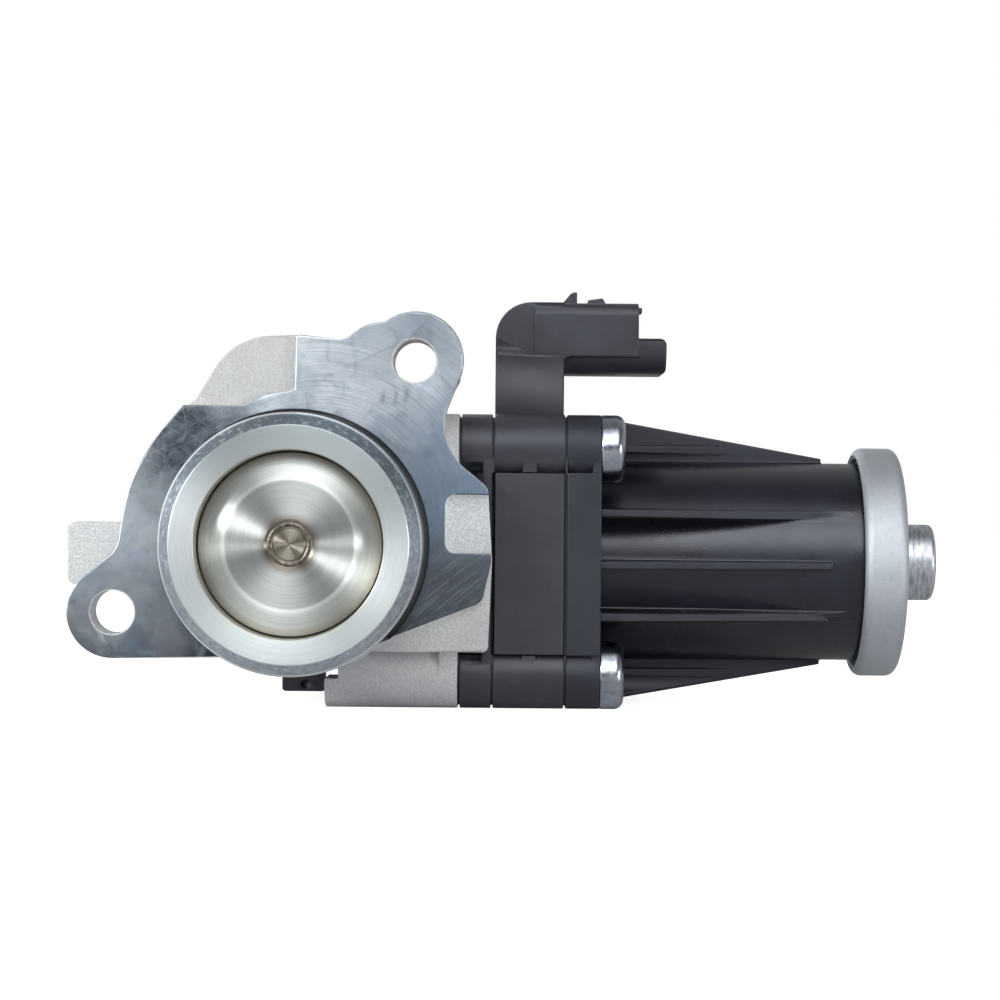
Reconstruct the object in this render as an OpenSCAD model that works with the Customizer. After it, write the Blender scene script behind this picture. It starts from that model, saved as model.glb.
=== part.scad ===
// Exhaust gas recirculation valve with an electric drive.
// A motor turns a planetary gear, whose output shaft carries a cam disc. A roller in the disc's
// spiral slot moves the valve stem straight out, and a torsion spring turns everything back.
// Origin: where the poppet's axis meets the machined flange face. X runs along the motor,
// Y away from the gas port's mouth, Z up. Outlines are given as [x, z] on that face.

/* [Gas spigot and seat] */
// Outer radius of the steel spigot
spigot_r = 24.5; // [24:0.1:25.2]
// How far the spigot stands out of the flange face
spigot_len = 15; // [13:0.5:18]
// Length along the axis of the bevel at the spigot's mouth
bevel_len = 4; // [2:0.5:6]
// Radial depth of that bevel
bevel_depth = 2.4; // [1:0.1:3]
// Radius of the spigot's mouth, in front of the seat
mouth_r = 17.4; // [17.3:0.05:18.5]
// Radius of the throat behind the seat
throat_r = 15.75; // [15:0.05:16.3]
// Distance from the mouth's edge to the wide end of the seat's cone
seat_depth = 5.6; // [5:0.1:7]
// Radius of the spigot's tail, pressed into the body
tail_r = 23; // [21.5:0.1:23.4]
// Length of the pressed tail
tail_len = 5.8; // [4:0.1:6.5]
// Width of the open ring between the spigot and the flange
moat_w = 0.8; // [0.5:0.1:1.2]
// Depth of that open ring
moat_depth = 1.2; // [0.8:0.1:1.8]

/* [Poppet and stem] */
// Radius of the poppet's head
poppet_r = 17; // [16.6:0.05:17.2]
// Thickness of the head's rim
poppet_rim_t = 1.3; // [1:0.1:1.6]
// Radius of the head's flat front, inside its rounded edge
disc_r = 11.85; // [11:0.05:12.5]
// Radius of the stem
stem_r = 3; // [2.5:0.1:3.2]
// Travel of the valve from shut to open
lift = 5.6; // [4:0.1:6]
// Radius of the weld ring round the stem's end
weld_r = 4.65; // [4.2:0.05:5.5]
// Outer radius of the stem guide
guide_r = 5; // [4.5:0.1:5.4]
// Outer radius of the cast boss round the guide
guide_boss_r = 7.5; // [6.8:0.1:8]

/* [Mounting flange] */
// Thickness of the flange plate
flange_t = 8; // [7:0.5:9]
// Thickness of the upper bolt lug
lug_t = 12; // [9:0.5:15]
// Radius of the two bolt holes
bolt_r = 4.1; // [3.3:0.05:5]
// Upper bolt hole, x
hi_x = 22.4; // [21.5:0.1:23]
// Upper bolt hole, z
hi_z = 34.6; // [34:0.1:35.5]
// Lower bolt hole, x
lo_x = -34.2; // [-35:0.1:-33.6]
// Lower bolt hole, z
lo_z = -13.2; // [-13.6:0.1:-12.6]
// Radius of the upper lug
hi_lug_r = 9; // [8:0.1:9.3]
// Radius of the lower lug
lo_lug_r = 8.7; // [8:0.1:9]
// Radius of the flange's round left edge
rim_r = 32.9; // [32.6:0.1:33]
// Step from the machined face down to the cast skin
cast_drop = 1.6; // [1:0.1:2.4]
// How far the cast lug stands out round its machined face
cast_skin = 0.15; // [0.1:0.05:0.2]

/* [Gas chamber and outlet] */
// Inner radius of the gas chamber
chamber_r = 21; // [19:0.1:21.5]
// Depth of the gas chamber behind the spigot's tail
chamber_len = 9; // [7:0.5:9.5]
// Thickness of the cast walls
wall = 3; // [2.5:0.1:3.5]
// Radius of the gas outlet
outlet_r = 9.3; // [8:0.1:9.8]
// Gas outlet, x
outlet_x = -21; // [-21.5:0.1:-20.5]
// Gas outlet, z
outlet_z = 3.5; // [3:0.1:4]
// Distance of the outlet's face behind the flange face
outlet_y = 27; // [25:0.5:29]
// Thickness of the outlet's flange
outlet_t = 8; // [8:0.5:9]
// Radius of the outlet's bolt circle
outlet_bolt_c = 17; // [16:0.1:17.5]
// Radius of the outlet's tapped holes
outlet_bolt_r = 2.5; // [2:0.05:2.6]

/* [Drive axis and screws] */
// Distance of the motor's axis behind the flange face
axis_y = 32; // [31:0.5:33]
// Height of the motor's axis over the poppet's axis
axis_z = -3.2; // [-3.6:0.1:-2.8]
// Distance of the four screws from the axis, both ways
screw_off = 21.7; // [21.5:0.1:23]
// Radius of the bosses round the screws
boss_r = 6.5; // [5.8:0.1:6.6]
// Radius of the screws
screw_r = 3; // [2.5:0.1:3]
// Radius of the screws' heads
head_r = 6.5; // [5:0.1:6.6]
// Height of the screws' heads
head_t = 4.6; // [3.5:0.1:5]

/* [Housing layers along the axis] */
// Face of the body that the layers sit on
body_x = 30.9; // [30:0.1:32]
// Thickness of each gasket
gasket_t = 0.4; // [0.3:0.1:0.6]
// Thickness of the bearing plate
plate_t = 5.9; // [5.6:0.1:6.4]
// Thickness of the gear housing
gearcase_t = 13.5; // [13.3:0.1:14.5]
// Thickness of the motor housing's flange
motorflange_t = 6.5; // [6:0.1:7.5]

/* [Planetary gear] */
// Gear module
gear_m = 0.6; // [0.56:0.01:0.62]
// Pressure angle
gear_pa = 25; // [22:0.5:25]
// Teeth of the sun pinion
sun_z = 12; // [12]
// Teeth of each planet
planet_z = 21; // [21]
// Number of planets
planet_n = 3; // [3]
// Width of the teeth
gear_w = 6; // [5:0.1:6.2]
// Play between teeth, along the pitch circle
backlash = 0.08; // [0.06:0.01:0.12]
// Outer radius of the ring gear
ring_r = 20.5; // [18.6:0.1:20.8]
// Radius of the planet pins
pin_r = 1.5; // [1.2:0.05:2]
// Radius of the planet carrier
carrier_r = 13.6; // [12.5:0.1:14]
// Thickness of the planet carrier
carrier_t = 2.8; // [2:0.1:3]

/* [Output shaft, cam and spring] */
// Radius of the output shaft
shaft_r = 4; // [3.9:0.05:4.1]
// Outer radius of the ball bearings
bearing_r = 8; // [7.8:0.1:8.2]
// Width of the ball bearings
bearing_w = 5; // [4:0.1:5]
// Turn of the cam from shut to open
cam_turn = 90; // [80:1:95]
// Distance of the roller from the motor's axis when shut, along Y
roller_far = 13.4; // [13:0.1:13.6]
// Radius of the roller
roller_r = 2.6; // [2.4:0.05:2.8]
// Radius of the roller's pin
roller_pin_r = 1.3; // [1:0.05:1.5]
// Thickness of the cam disc
cam_t = 4.2; // [3.5:0.1:4.5]
// Gap between the stem and the cam disc
cam_gap = 1; // [0.6:0.1:1.2]
// Width of the cam's rim outside the slot
cam_rim = 2; // [1.5:0.1:2.2]
// Mean radius of the spring's coil
coil_r = 9.6; // [9.5:0.05:9.8]
// Radius of the spring's wire
wire_r = 0.8; // [0.6:0.05:0.85]
// Turns of the spring
coil_turns = 4; // [3:1:4]

/* [Motor] */
// Outer radius of the motor's steel can
can_r = 17.9; // [17.5:0.1:18]
// Thickness of the housing's barrel round the can
barrel_t = 1.6; // [1.4:0.1:2]
// Thickness of the can's sheet
can_t = 1.3; // [1:0.1:1.4]
// Thickness of the magnets
magnet_t = 4; // [3:0.1:4.2]
// Play between armature and magnets
air_gap = 0.5; // [0.4:0.1:0.8]
// Radius of the motor's shaft
rotor_shaft_r = 2.5; // [2.2:0.1:2.8]
// Radius of the shaft's thin end in the pinion
pinion_bore_r = 1.8; // [1.5:0.1:2]
// Radius of the commutator
commutator_r = 5; // [4.5:0.1:5.5]
// Poles of the armature, as many as the commutator's segments
poles = 8; // [6:1:10]
// Outer radius of the bearing cup at the motor's end
cup_r = 7.55; // [7:0.05:8]

/* [End cap] */
// Thickness of the steel cap's rim
cap_t = 2.05; // [2:0.05:2.7]
// Edge of the cap on the motor's side
cap_x0 = 109.1; // [107:0.1:110]
// Outer face of the cap
cap_x1 = 117.5; // [117:0.1:119]
// How far the rear bearing's cup stands out of the end cap
cup_out = 7.5; // [4:0.1:8]

/* [Ribs of the motor housing] */
// Thickness of the ribs
rib_t = 1.5; // [1.2:0.1:2]
// How far the ribs stay inside the layers' outline beside the screws
rib_inset = 0.5; // [0.4:0.1:2]
// How far the ribs stand out of the barrel at their far end
rib_far_h = 0.9; // [0.6:0.1:1.9]
// Far end of the ribs
rib_x1 = 102.7; // [100:0.1:105]
// Spacing of the three flat ribs on each side
rib_pitch = 9.9; // [8:0.1:11]

/* [Plug socket] */
// Width of the socket along Y
socket_w = 20; // [18:0.5:22]
// Top of the socket
socket_top = 47.5; // [47:0.1:49]
// Underside of the socket
socket_low = 33.6; // [33:0.1:34]
// End of the socket's upper half
socket_x_hi = 65.7; // [65:0.1:67]
// End of the socket's lower half
socket_x_lo = 71.2; // [70:0.1:73]
// Thickness of the socket's shell
shell_t = 1.7; // [1.4:0.1:2]
// Rounding of the elbow's outer edge
elbow_r = 7; // [5:0.1:8]
// How far the elbow's cheeks lie inside the socket's sides
cheek_inset = 0.5; // [0.3:0.1:0.8]
// Number of blades in the socket
blade_n = 5; // [3:1:5]

/* [Rear cover] */
// Thickness of the cover
cover_t = 3; // [2.5:0.1:4]
// Radius of the cover's screws
cover_screw_r = 1.6; // [1.3:0.05:1.8]
// Left end of the tab under the cover
tab_x0 = -6.1; // [-6.5:0.1:-5]
// Right end of the tab under the cover
tab_x1 = 2.9; // [2:0.1:4]
// Lowest edge of the tab
tab_z = -31.4; // [-31.4:0.1:-30.5]

/* [Clearances] */
// Radial play where a piece turns or slides
run_gap = 0.05; // [0.02:0.01:0.08]
// Radial play where a piece is fixed
fit_gap = 0.01; // [0.005:0.005:0.02]
// Space between pieces that pass each other
part_gap = 0.3; // [0.2:0.05:0.5]
// Gap between the shut poppet and its seat
seat_gap = 0.06; // [0.03:0.01:0.1]

/* [Hidden] */
$fn = 64;
arc_step = 7;    // degrees between points on rounded outlines
over = 1;        // how far cuts run past a face

// Stations along Y of the spigot, seat and gas chamber
mouth_y = -spigot_len;
seat_y = mouth_y + seat_depth;
tail_y = moat_depth + tail_len;
chamber_y = tail_y + chamber_len;
guide_y0 = 5;
guide_y1 = 19.5;
seal_r = guide_r + 0.5;
chamber_out_r = tail_r + 2;
duct_y0 = 4;
port = [outlet_x, outlet_z];
duct_wall = 2.5;
outlet_hole_depth = outlet_t - 1.5;
outlet_angles = [68, -68, 200];

// Stations along X of the housing layers
plate_x0 = body_x + gasket_t;
plate_x1 = plate_x0 + plate_t;
gear_x0 = plate_x1 + gasket_t;
gear_x1 = gear_x0 + gearcase_t;
flange_x0 = gear_x1 + gasket_t;
flange_x1 = flange_x0 + motorflange_t;
case_half = screw_off + boss_r;
pad_t = 3.5;
boss_x0 = 20;
low_boss_x0 = 5.6;
screw_len = flange_x1 - boss_x0;

// Mechanism case behind the gas chamber
cam_x0 = stem_r + cam_gap;
cam_x1 = cam_x0 + cam_t;
slot_play = 0.08;
slot_half = roller_r + slot_play;
cam_reach = norm([roller_far, -axis_z]) + slot_half + cam_rim;
cavity_y0 = 24;
case_y0 = 17;
case_y1 = axis_y + cam_reach + 0.6;
cavity_top = axis_z + cam_reach + 1;
cavity_low = axis_z - cam_reach + 1.4;
cavity_x0 = -stem_r - 2.5;
cavity_x1 = cam_x1 + 2.8;
stem_room = 6;
case_wall = 3;
inner_bearing_x0 = cavity_x1 + 1;
pocket_x0 = inner_bearing_x0 + bearing_w + 1;
pocket_r = coil_r + wire_r + 1.1;
outer_bearing_x0 = plate_x0 + 0.5;
cover_bolts = [[13.3, cavity_top + 0.6], [13.3, cavity_low - 0.4],
               [cavity_x0 + 2, cavity_top - 2.2], [cavity_x0 + 2, cavity_low + 1]];
cover_boss_r = 3.8;
cover_head_r = 2 * cover_screw_r;
cover_head_t = 2.2;
cover_screw_len = 8;
panel_z0 = cover_bolts[3].y + cover_head_r + 0.5;
panel_z1 = cover_bolts[2].y - cover_head_r - 0.5;
cover_y = case_y1 + gasket_t;

// Planetary gear
ring_z = sun_z + 2 * planet_z;
sun_rp = gear_m * sun_z / 2;
planet_rp = gear_m * planet_z / 2;
ring_rp = gear_m * ring_z / 2;
planet_c = sun_rp + planet_rp;
carrier_x0 = gear_x0 + 0.9;
carrier_x1 = carrier_x0 + carrier_t;
gears_x0 = carrier_x1 + part_gap;
gears_x1 = gears_x0 + gear_w;
ring_stop_r = ring_rp + 1.4;

// Motor
core_x0 = 75;
core_x1 = 103;
brush_x0 = 63.5;
brush_w = 4;
brush_len = 5;
can_x0 = flange_x0 + 5;
can_x1 = cap_x1 - 3.6;
cup_x = cap_x1 + cup_out;
barrel_in_r = can_r + 0.1;
barrel_r = barrel_in_r + barrel_t;
barrel_x1 = cap_x1 - 2.2;
collar_r = barrel_r + 1;
cap_in_r = collar_r + 0.05;
cap_r = cap_in_r + cap_t;
rib_near = case_half - rib_inset;
rib_far = barrel_r + rib_far_h;
rib_run_out = sqrt(pow(barrel_r, 2) - pow(rib_pitch + rib_t / 2, 2)) - 0.1;
rib_shift = 0.45;
low_rib_z = 22.2;
magnet_r1 = can_r - can_t - fit_gap;
magnet_r0 = magnet_r1 - magnet_t;
core_r = magnet_r0 - air_gap;
slot_r0 = rotor_shaft_r + 3.7;
slot_r1 = core_r - 2.5;
brush_h = 7;
brush_spring_r = 1.5;

// Socket
socket_y0 = axis_y - socket_w / 2;
socket_floor = gear_x1 + 3;
blade_t = 0.8;
blade_w = 1.5;
blade_pitch = 3;
socket_mid = (socket_low + socket_top) / 2;
socket_round = (socket_mid - socket_low) * 0.8;
sensor_y = axis_y - case_half;
board_y = sensor_y + 2.8;

// Flat panel in the front of the layers, measured from the motor's axis
panel_lo = -17.7;
panel_hi = 17;
panel_t = 2.2;
groove_d = 3.4;
web_drop = 0.5;
web_reach = 19.5;
plate_lip = 1.7;
plate_pocket_d = 2.4;

// Corners and lugs of the flange, clockwise, as [x, z, radius]; the edge runs outside a
// positive circle and inside a negative one, with straight tangents between
hi_lug = [hi_x + 0.1, hi_z + 0.3, hi_lug_r];
lo_lug = [lo_x, lo_z, lo_lug_r];
flange_top = [[0.5, 38.8, 0.6], [8.3, 41.6, -3], [15.9, 34.5, 7.3], [16.4, 42.7, -0.8], hi_lug,
              [38.5, 22.6, -10.4], [33.9, 9.6, 2.6], [36.3, -2.9, 1]];
flange_low = [[-13, -21.1, 0.5], lo_lug, [-38.6, 1.6, -5.6], [0, 0, rim_r]];
machined_edge = concat(flange_top, [[33.3, -8.9, 2.6], [10, -20.6, 0.5]], flange_low,
                       [[-21, 25.6, 0.35], [-9.9, 27.2, -1.2], [-4.6, 24.2, 4], [-0.6, 29.4, -0.5]]);
cast_edge = concat(flange_top, [[35.6, -19.2, 1.1], [14.9, -19.8, 0.5], [10, -12, -0.5]], flange_low,
                   [[-21, 28.9, -2.7], [-4.5, 26.6, 12.6]]);

// Direction normal to the tangent from circle p to circle q
function side(p, q) = atan2(q.y - p.y, q.x - p.x) + acos((p[2] - q[2]) / norm([q.x - p.x, q.y - p.y]));
// Points of circle q between the tangents from p and to s
function stop_arc(p, q, s) =
  let (a0 = side(p, q), a1 = side(q, s),
       turn = q[2] < 0 ? (a1 - a0 + 720) % 360 : -((a0 - a1 + 720) % 360),
       n = abs(turn) < 2 ? 0 : max(1, ceil(abs(turn) / (abs(q[2]) < 2 ? 30 : arc_step))))
  [for (i = [0:n]) let (a = a0 + (n == 0 ? turn / 2 : turn * i / n)) [q.x, q.y] + q[2] * [cos(a), sin(a)]];
// Closed outline that runs clockwise round a list of circles
function belt(c) = let (n = len(c))
  [for (i = [0:n - 1]) each stop_arc(c[(i + n - 1) % n], c[i], c[(i + 1) % n])];

function unit(v) = v / norm(v);
// Points that round the corner q between p and s
function corner(p, q, s) =
  let (r = is_undef(q[2]) ? 0 : q[2], o = [q.x, q.y])
  r == 0 ? [o] :
  let (u = unit([p.x, p.y] - o), v = unit([s.x, s.y] - o), half = acos(u * v) / 2,
       c = o + unit(u + v) * r / sin(half), a = o + u * r / tan(half), b = o + v * r / tan(half),
       a0 = atan2(a.y - c.y, a.x - c.x),
       turn = (atan2(b.y - c.y, b.x - c.x) - a0 + 540) % 360 - 180,
       n = max(2, ceil(abs(turn) / arc_step / 1.5)))
  [for (i = [0:n]) c + r * [cos(a0 + turn * i / n), sin(a0 + turn * i / n)]];
// Closed outline from corners given as [x, y] or [x, y, rounding]
function rounded(c) = let (n = len(c))
  [for (i = [0:n - 1]) each corner(c[(i + n - 1) % n], c[i], c[(i + 1) % n])];
function box_points(x0, y0, x1, y1, r) = rounded([[x0, y0, r], [x1, y0, r], [x1, y1, r], [x0, y1, r]]);

// Height of the seat's cone at radius r
function seat_at(r) = seat_y + mouth_r - r;

// Involute of the pressure angle a, in degrees
function inv(a) = tan(a) * 180 / PI - a;
// Half the angle of a tooth at radius r; grow is added to its thickness along the pitch circle
function half_tooth(r, rp, z, grow) =
  90 / z + grow / 2 / rp * 180 / PI + inv(gear_pa)
  - inv(acos(min(1, rp * cos(gear_pa) / max(r, rp * cos(gear_pa)))));
// Outline of a gear of z teeth with root radius r0 and tip radius r1, first tooth along +x
function gear_points(z, r0, r1, grow) =
  let (rp = gear_m * z / 2, rb = max(r0, rp * cos(gear_pa)), steps = 4,
       radii = concat(rb > r0 + 0.01 ? [r0] : [], [for (i = [0:steps]) rb + (r1 - rb) * i / steps]),
       n = len(radii))
  [for (k = [0:z - 1]) each concat(
    [for (i = [0:n - 1]) let (a = k * 360 / z - half_tooth(radii[i], rp, z, grow))
      radii[i] * [cos(a), sin(a)]],
    [for (i = [0:n - 1]) let (r = radii[n - 1 - i], a = k * 360 / z + half_tooth(r, rp, z, grow))
      r * [cos(a), sin(a)]])];

// Centre line of the cam's slot in the disc at rest, for a cam angle a, as [y, z] from the axis
function slot_at(a) = let (y = roller_far - lift * a / cam_turn, z = -axis_z)
  [y * cos(a) + z * sin(a), -y * sin(a) + z * cos(a)];
function slot_side(a, d) = let (t = unit(slot_at(a + 0.5) - slot_at(a - 0.5))) slot_at(a) + d * [-t.y, t.x];
slot_step = cam_turn / 30;

// An [x, z] shape from y0 to y1
module between_y(y0, y1) translate([0, y1, 0]) rotate([90, 0, 0]) linear_extrude(y1 - y0) children();
// A [y, z] shape, measured from the motor's axis, from x0 to x1
module between_x(x0, x1) translate([x0, axis_y, axis_z]) rotate([90, 0, 90]) linear_extrude(x1 - x0) children();
// A profile of [radius, y] points turned about the poppet's axis
module about_stem() rotate([-90, 0, 0]) rotate_extrude() children();
// A profile of [radius, x] points turned about the motor's axis
module about_motor() translate([0, axis_y, axis_z]) rotate([90, 0, 90]) rotate_extrude() children();
module tube(x0, x1, r1, r0) between_x(x0, x1) difference() { circle(r1); circle(r0); }
module at_screws() for (y = [-1, 1], z = [-1, 1]) translate([y * screw_off, z * screw_off]) children();

// Outline of the screwed layers: a square with a boss round each screw
module case_outline(inset = 0) {
  square([2 * (case_half - inset), 2 * screw_off], center = true);
  square([2 * screw_off, 2 * (case_half - inset)], center = true);
  at_screws() circle(boss_r - inset);
}

// Two circles and the straight tangents between them
module blend(a, ra, b, rb) {
  phi = atan2(b.y - a.y, b.x - a.x);
  n = acos((ra - rb) / norm(b - a));
  translate(a) circle(ra);
  translate(b) circle(rb);
  polygon([a + ra * [cos(phi + n), sin(phi + n)], b + rb * [cos(phi + n), sin(phi + n)],
           b + rb * [cos(phi - n), sin(phi - n)], a + ra * [cos(phi - n), sin(phi - n)]]);
}

function outlet_bolt(a) = port + outlet_bolt_c * [cos(a), sin(a)];

module outlet_plate() {
  lug = 5.5;
  for (i = [0, 1]) blend(port, outlet_r + 3.4, outlet_bolt(outlet_angles[i]), lug);
  corner_bolt = outlet_bolt(outlet_angles[2]);
  polygon(box_points(corner_bolt.x - 8.7, corner_bolt.y - 6.3, corner_bolt.x + 8, corner_bolt.y + 5.9, 1.6));
}

module case_section() {
  polygon(box_points(0, cavity_low - case_wall, body_x - pad_t / 2, cavity_top + case_wall, 4));
  polygon(box_points(cavity_x0 - case_wall, -stem_room - case_wall, 6, stem_room + case_wall, 3));
  for (p = cover_bolts) translate(p) circle(cover_boss_r);
}

module cavity_section() {
  polygon(box_points(cam_x0 - 0.6, cavity_low, cavity_x1, cavity_top, 2));
  polygon(box_points(cavity_x0, -stem_room, cavity_x1 - 2, stem_room, 2));
}

module valve_body() color("gainsboro") difference() {
  union() {
    difference() {
      union() {
        between_y(0, cast_drop + 0.01) polygon(belt(machined_edge));
        between_y(cast_drop, flange_t) polygon(belt(cast_edge));
        between_y(cast_drop, lug_t) translate([hi_lug.x, hi_lug.y]) circle(hi_lug_r + cast_skin);
        between_y(cast_drop, chamber_y + wall) circle(chamber_out_r);
        between_y(duct_y0, chamber_y + wall) blend([0, 0], outlet_r + duct_wall, port, outlet_r + duct_wall);
        between_y(duct_y0, outlet_y) translate(port) circle(outlet_r + duct_wall);
        between_y(outlet_y - outlet_t, outlet_y) outlet_plate();
        between_y(case_y0, case_y1) case_section();
        between_x(body_x - pad_t, body_x) case_outline();
        between_x(boss_x0, body_x) at_screws() circle(boss_r);
        // The lower boss reaches further left under the cover's tab
        between_x(low_boss_x0 + 2.6, body_x) translate([-screw_off, -screw_off]) circle(boss_r);
        between_x(low_boss_x0, body_x) intersection() {
          translate([-screw_off, -screw_off]) circle(boss_r);
          translate([-case_half, -case_half]) square([2 * boss_r, 5.8]);
        }
        between_y(axis_y - screw_off, case_y0 + 1)
          polygon(box_points(low_boss_x0 + 4, axis_z - case_half + 4, body_x - 1, -12, 2));
      }
      between_y(-over, moat_depth) circle(spigot_r + moat_w);
      between_y(0, tail_y + 0.01) circle(tail_r + fit_gap);
      between_y(tail_y, chamber_y) circle(chamber_r);
      between_y(tail_y, chamber_y) blend([-8, 1.5], outlet_r, port, outlet_r);
    }
    between_y(guide_y0, cavity_y0) circle(guide_boss_r);
  }
  between_y(duct_y0 + wall, outlet_y + over) translate(port) circle(outlet_r);
  between_y(guide_y0 - over, guide_y1) circle(guide_r + fit_gap);
  between_y(guide_y1 - 0.01, cavity_y0 + over) circle(seal_r + fit_gap);
  between_y(cavity_y0, case_y1 + over) cavity_section();
  between_x(cavity_x1 - over, body_x + over) circle(shaft_r + 2);
  between_x(inner_bearing_x0, pocket_x0 + 0.01) circle(bearing_r + fit_gap);
  between_x(pocket_x0, body_x + over) circle(pocket_r);
  between_x(boss_x0 + 1, body_x + over) at_screws() circle(screw_r + fit_gap);
  mount_hole([hi_x, hi_z], lug_t);
  mount_hole([lo_x, lo_z], flange_t);
  for (a = outlet_angles)
    between_y(outlet_y - outlet_hole_depth, outlet_y + over) translate(outlet_bolt(a)) circle(outlet_bolt_r);
  for (p = cover_bolts) between_y(case_y1 - cover_screw_len - 2, case_y1 + over) translate(p)
    circle(cover_screw_r + fit_gap);
  // Cast notch beside the machined face
  between_y(-over, cast_drop) polygon(box_points(28.5, -1.5, 45, 9.5, 1.8));
  // The flange's cheek lies in front of the layers
  translate([body_x, sensor_y - 0.4, -60]) cube([12, 30, 120]);
}

// Bolt hole with a small chamfer at the machined face
module mount_hole(p, t) {
  chamfer = 0.3;
  between_y(-over, t + over) translate(p) circle(bolt_r);
  translate([p.x, -0.01, p.y]) rotate([-90, 0, 0]) cylinder(h = chamfer, r1 = bolt_r + chamfer, r2 = bolt_r);
}

module seat_tube() color("silver") about_stem() polygon([
  [mouth_r + 0.25, mouth_y], [spigot_r - bevel_depth, mouth_y], [spigot_r, mouth_y + bevel_len],
  [spigot_r, 0], [spigot_r - 0.3, 0.3], [spigot_r - 0.3, moat_depth - fit_gap],
  [tail_r, moat_depth - fit_gap], [tail_r, tail_y - 0.6], [tail_r - 0.6, tail_y],
  [throat_r + 2.4, tail_y], [throat_r, tail_y - 4], [throat_r, seat_at(throat_r)],
  [mouth_r, seat_y], [mouth_r, mouth_y + 0.25],
]);

// Edge of the head's front: an arc whose slope grows from crown_a0 to crown_a1
crown_a0 = 6;
crown_a1 = 36;
crown_r = (poppet_r - disc_r) / (sin(crown_a1) - sin(crown_a0));
rim_back = seat_at(poppet_r) - seat_gap * sqrt(2);
disc_y = rim_back - poppet_rim_t - crown_r * (cos(crown_a0) - cos(crown_a1));
function crown(a) = [disc_r + crown_r * (sin(a) - sin(crown_a0)), disc_y + crown_r * (cos(crown_a0) - cos(a))];

// Head whose cone lies on the seat, welded to the stem's end
module poppet() color("lightsteelblue") {
  cone_r = throat_r - 0.5;
  cone_back = rim_back + poppet_r - cone_r;
  hole = stem_r + fit_gap;
  about_stem() polygon(rounded(concat(
    [[hole, disc_y + 0.4], [weld_r - 0.5, disc_y + 0.4], [weld_r, disc_y]],
    [for (a = [crown_a0:5:crown_a1]) crown(a)],
    [[poppet_r, rim_back], [cone_r, cone_back, 0.3], [7.5, cone_back + 1.6, 4], [stem_r + 1.6, 0], [hole, 0]])));
}

stem_y0 = disc_y + 0.2;
stem_y1 = axis_y + roller_far + 3.1;

module valve_stem() color("silver") difference() {
  about_stem() polygon(rounded([[0, stem_y0 + 0.3], [0.55, stem_y0], [stem_r, stem_y0], [stem_r, stem_y1 - 0.5],
                                [stem_r - 0.5, stem_y1], [0, stem_y1]]));
  between_x(-stem_r - over, stem_r + over) translate([roller_far, -axis_z]) circle(roller_pin_r + fit_gap);
}

module roller_pin() color("dimgray") {
  between_x(-stem_r - 1, -stem_r) translate([roller_far, -axis_z]) circle(roller_pin_r + 0.8);
  between_x(-stem_r, cam_x1 + 0.5) translate([roller_far, -axis_z]) circle(roller_pin_r);
  between_x(stem_r, cam_x0 + 0.15) translate([roller_far, -axis_z]) circle(roller_pin_r + 0.5);
}

module cam_roller() color("goldenrod")
  between_x(cam_x0 + 0.15 + run_gap, cam_x1 - 0.1) translate([roller_far, -axis_z]) difference() {
    circle(roller_r);
    circle(roller_pin_r + run_gap);
  }

module stem_guide() color("darkgoldenrod") between_y(guide_y0 + 0.2, guide_y1) difference() {
  circle(guide_r);
  circle(stem_r + run_gap);
}

module stem_seal() color("ivory") about_stem() polygon([
  [stem_r + run_gap, guide_y1 + 0.02], [seal_r, guide_y1 + 0.02], [seal_r, cavity_y0 - 0.4],
  [seal_r - 1, cavity_y0 - 0.4], [seal_r - 1, guide_y1 + 1.6], [stem_r + 0.9, guide_y1 + 1.6],
  [stem_r + 0.5, cavity_y0 - 1], [stem_r + run_gap, cavity_y0 - 1],
]);

// Pressed cup that keeps soot off the guide
module deposit_shield() color("slategray") about_stem() {
  r = guide_boss_r + fit_gap;
  polygon([[stem_r + 0.25, guide_y0 - 0.8], [r + 0.8, guide_y0 - 0.8], [r + 0.8, guide_y0 + 6],
           [r, guide_y0 + 6], [r, guide_y0 - 0.02], [stem_r + 0.25, guide_y0 - 0.02]]);
}

module cover_edge(inset = 0) {
  x0 = cover_bolts[2].x - cover_boss_r + inset;
  x1 = cover_bolts[0].x + cover_boss_r - inset;
  z0 = cover_bolts[1].y - cover_boss_r + inset;
  z1 = cover_bolts[0].y + cover_boss_r - inset;
  polygon(box_points(x0, z0, x1, z1, cover_boss_r - inset));
}

module rear_cover() color("darkslategray") difference() {
  union() {
    between_y(cover_y, cover_y + cover_t) {
      cover_edge();
      polygon(box_points(tab_x0, tab_z, tab_x1, cover_bolts[1].y + 2, 0.8));
      polygon(box_points(tab_x1 - 2, tab_z + 5, cover_bolts[1].x, cover_bolts[1].y + 2, 0.8));
    }
    between_y(cover_y + cover_t - 0.01, cover_y + cover_t + 1.6)
      polygon(box_points(cavity_x0 + 0.5, panel_z0, cavity_x1 - 1, panel_z1, 2));
    for (k = [-1, 0, 1]) translate([cavity_x0 + 2, cover_y + cover_t, (panel_z0 + panel_z1) / 2 + 6 * k - 0.6])
      cube([cavity_x1 - cavity_x0 - 5, 2.4, 1.2]);
  }
  for (p = cover_bolts) between_y(cover_y - over, cover_y + cover_t + over) translate(p) circle(cover_screw_r + 0.2);
  between_y(cover_y - over, cover_y + 0.8) translate([(tab_x0 + tab_x1) / 2 + 0.3, tab_z + 1.5]) circle(0.8);
}

module cover_gasket() color("black") between_y(case_y1, cover_y) difference() {
  intersection() {
    cover_edge(0.3);
    case_section();
  }
  cavity_section();
  for (p = cover_bolts) translate(p) circle(cover_screw_r + 0.3);
}

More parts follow.
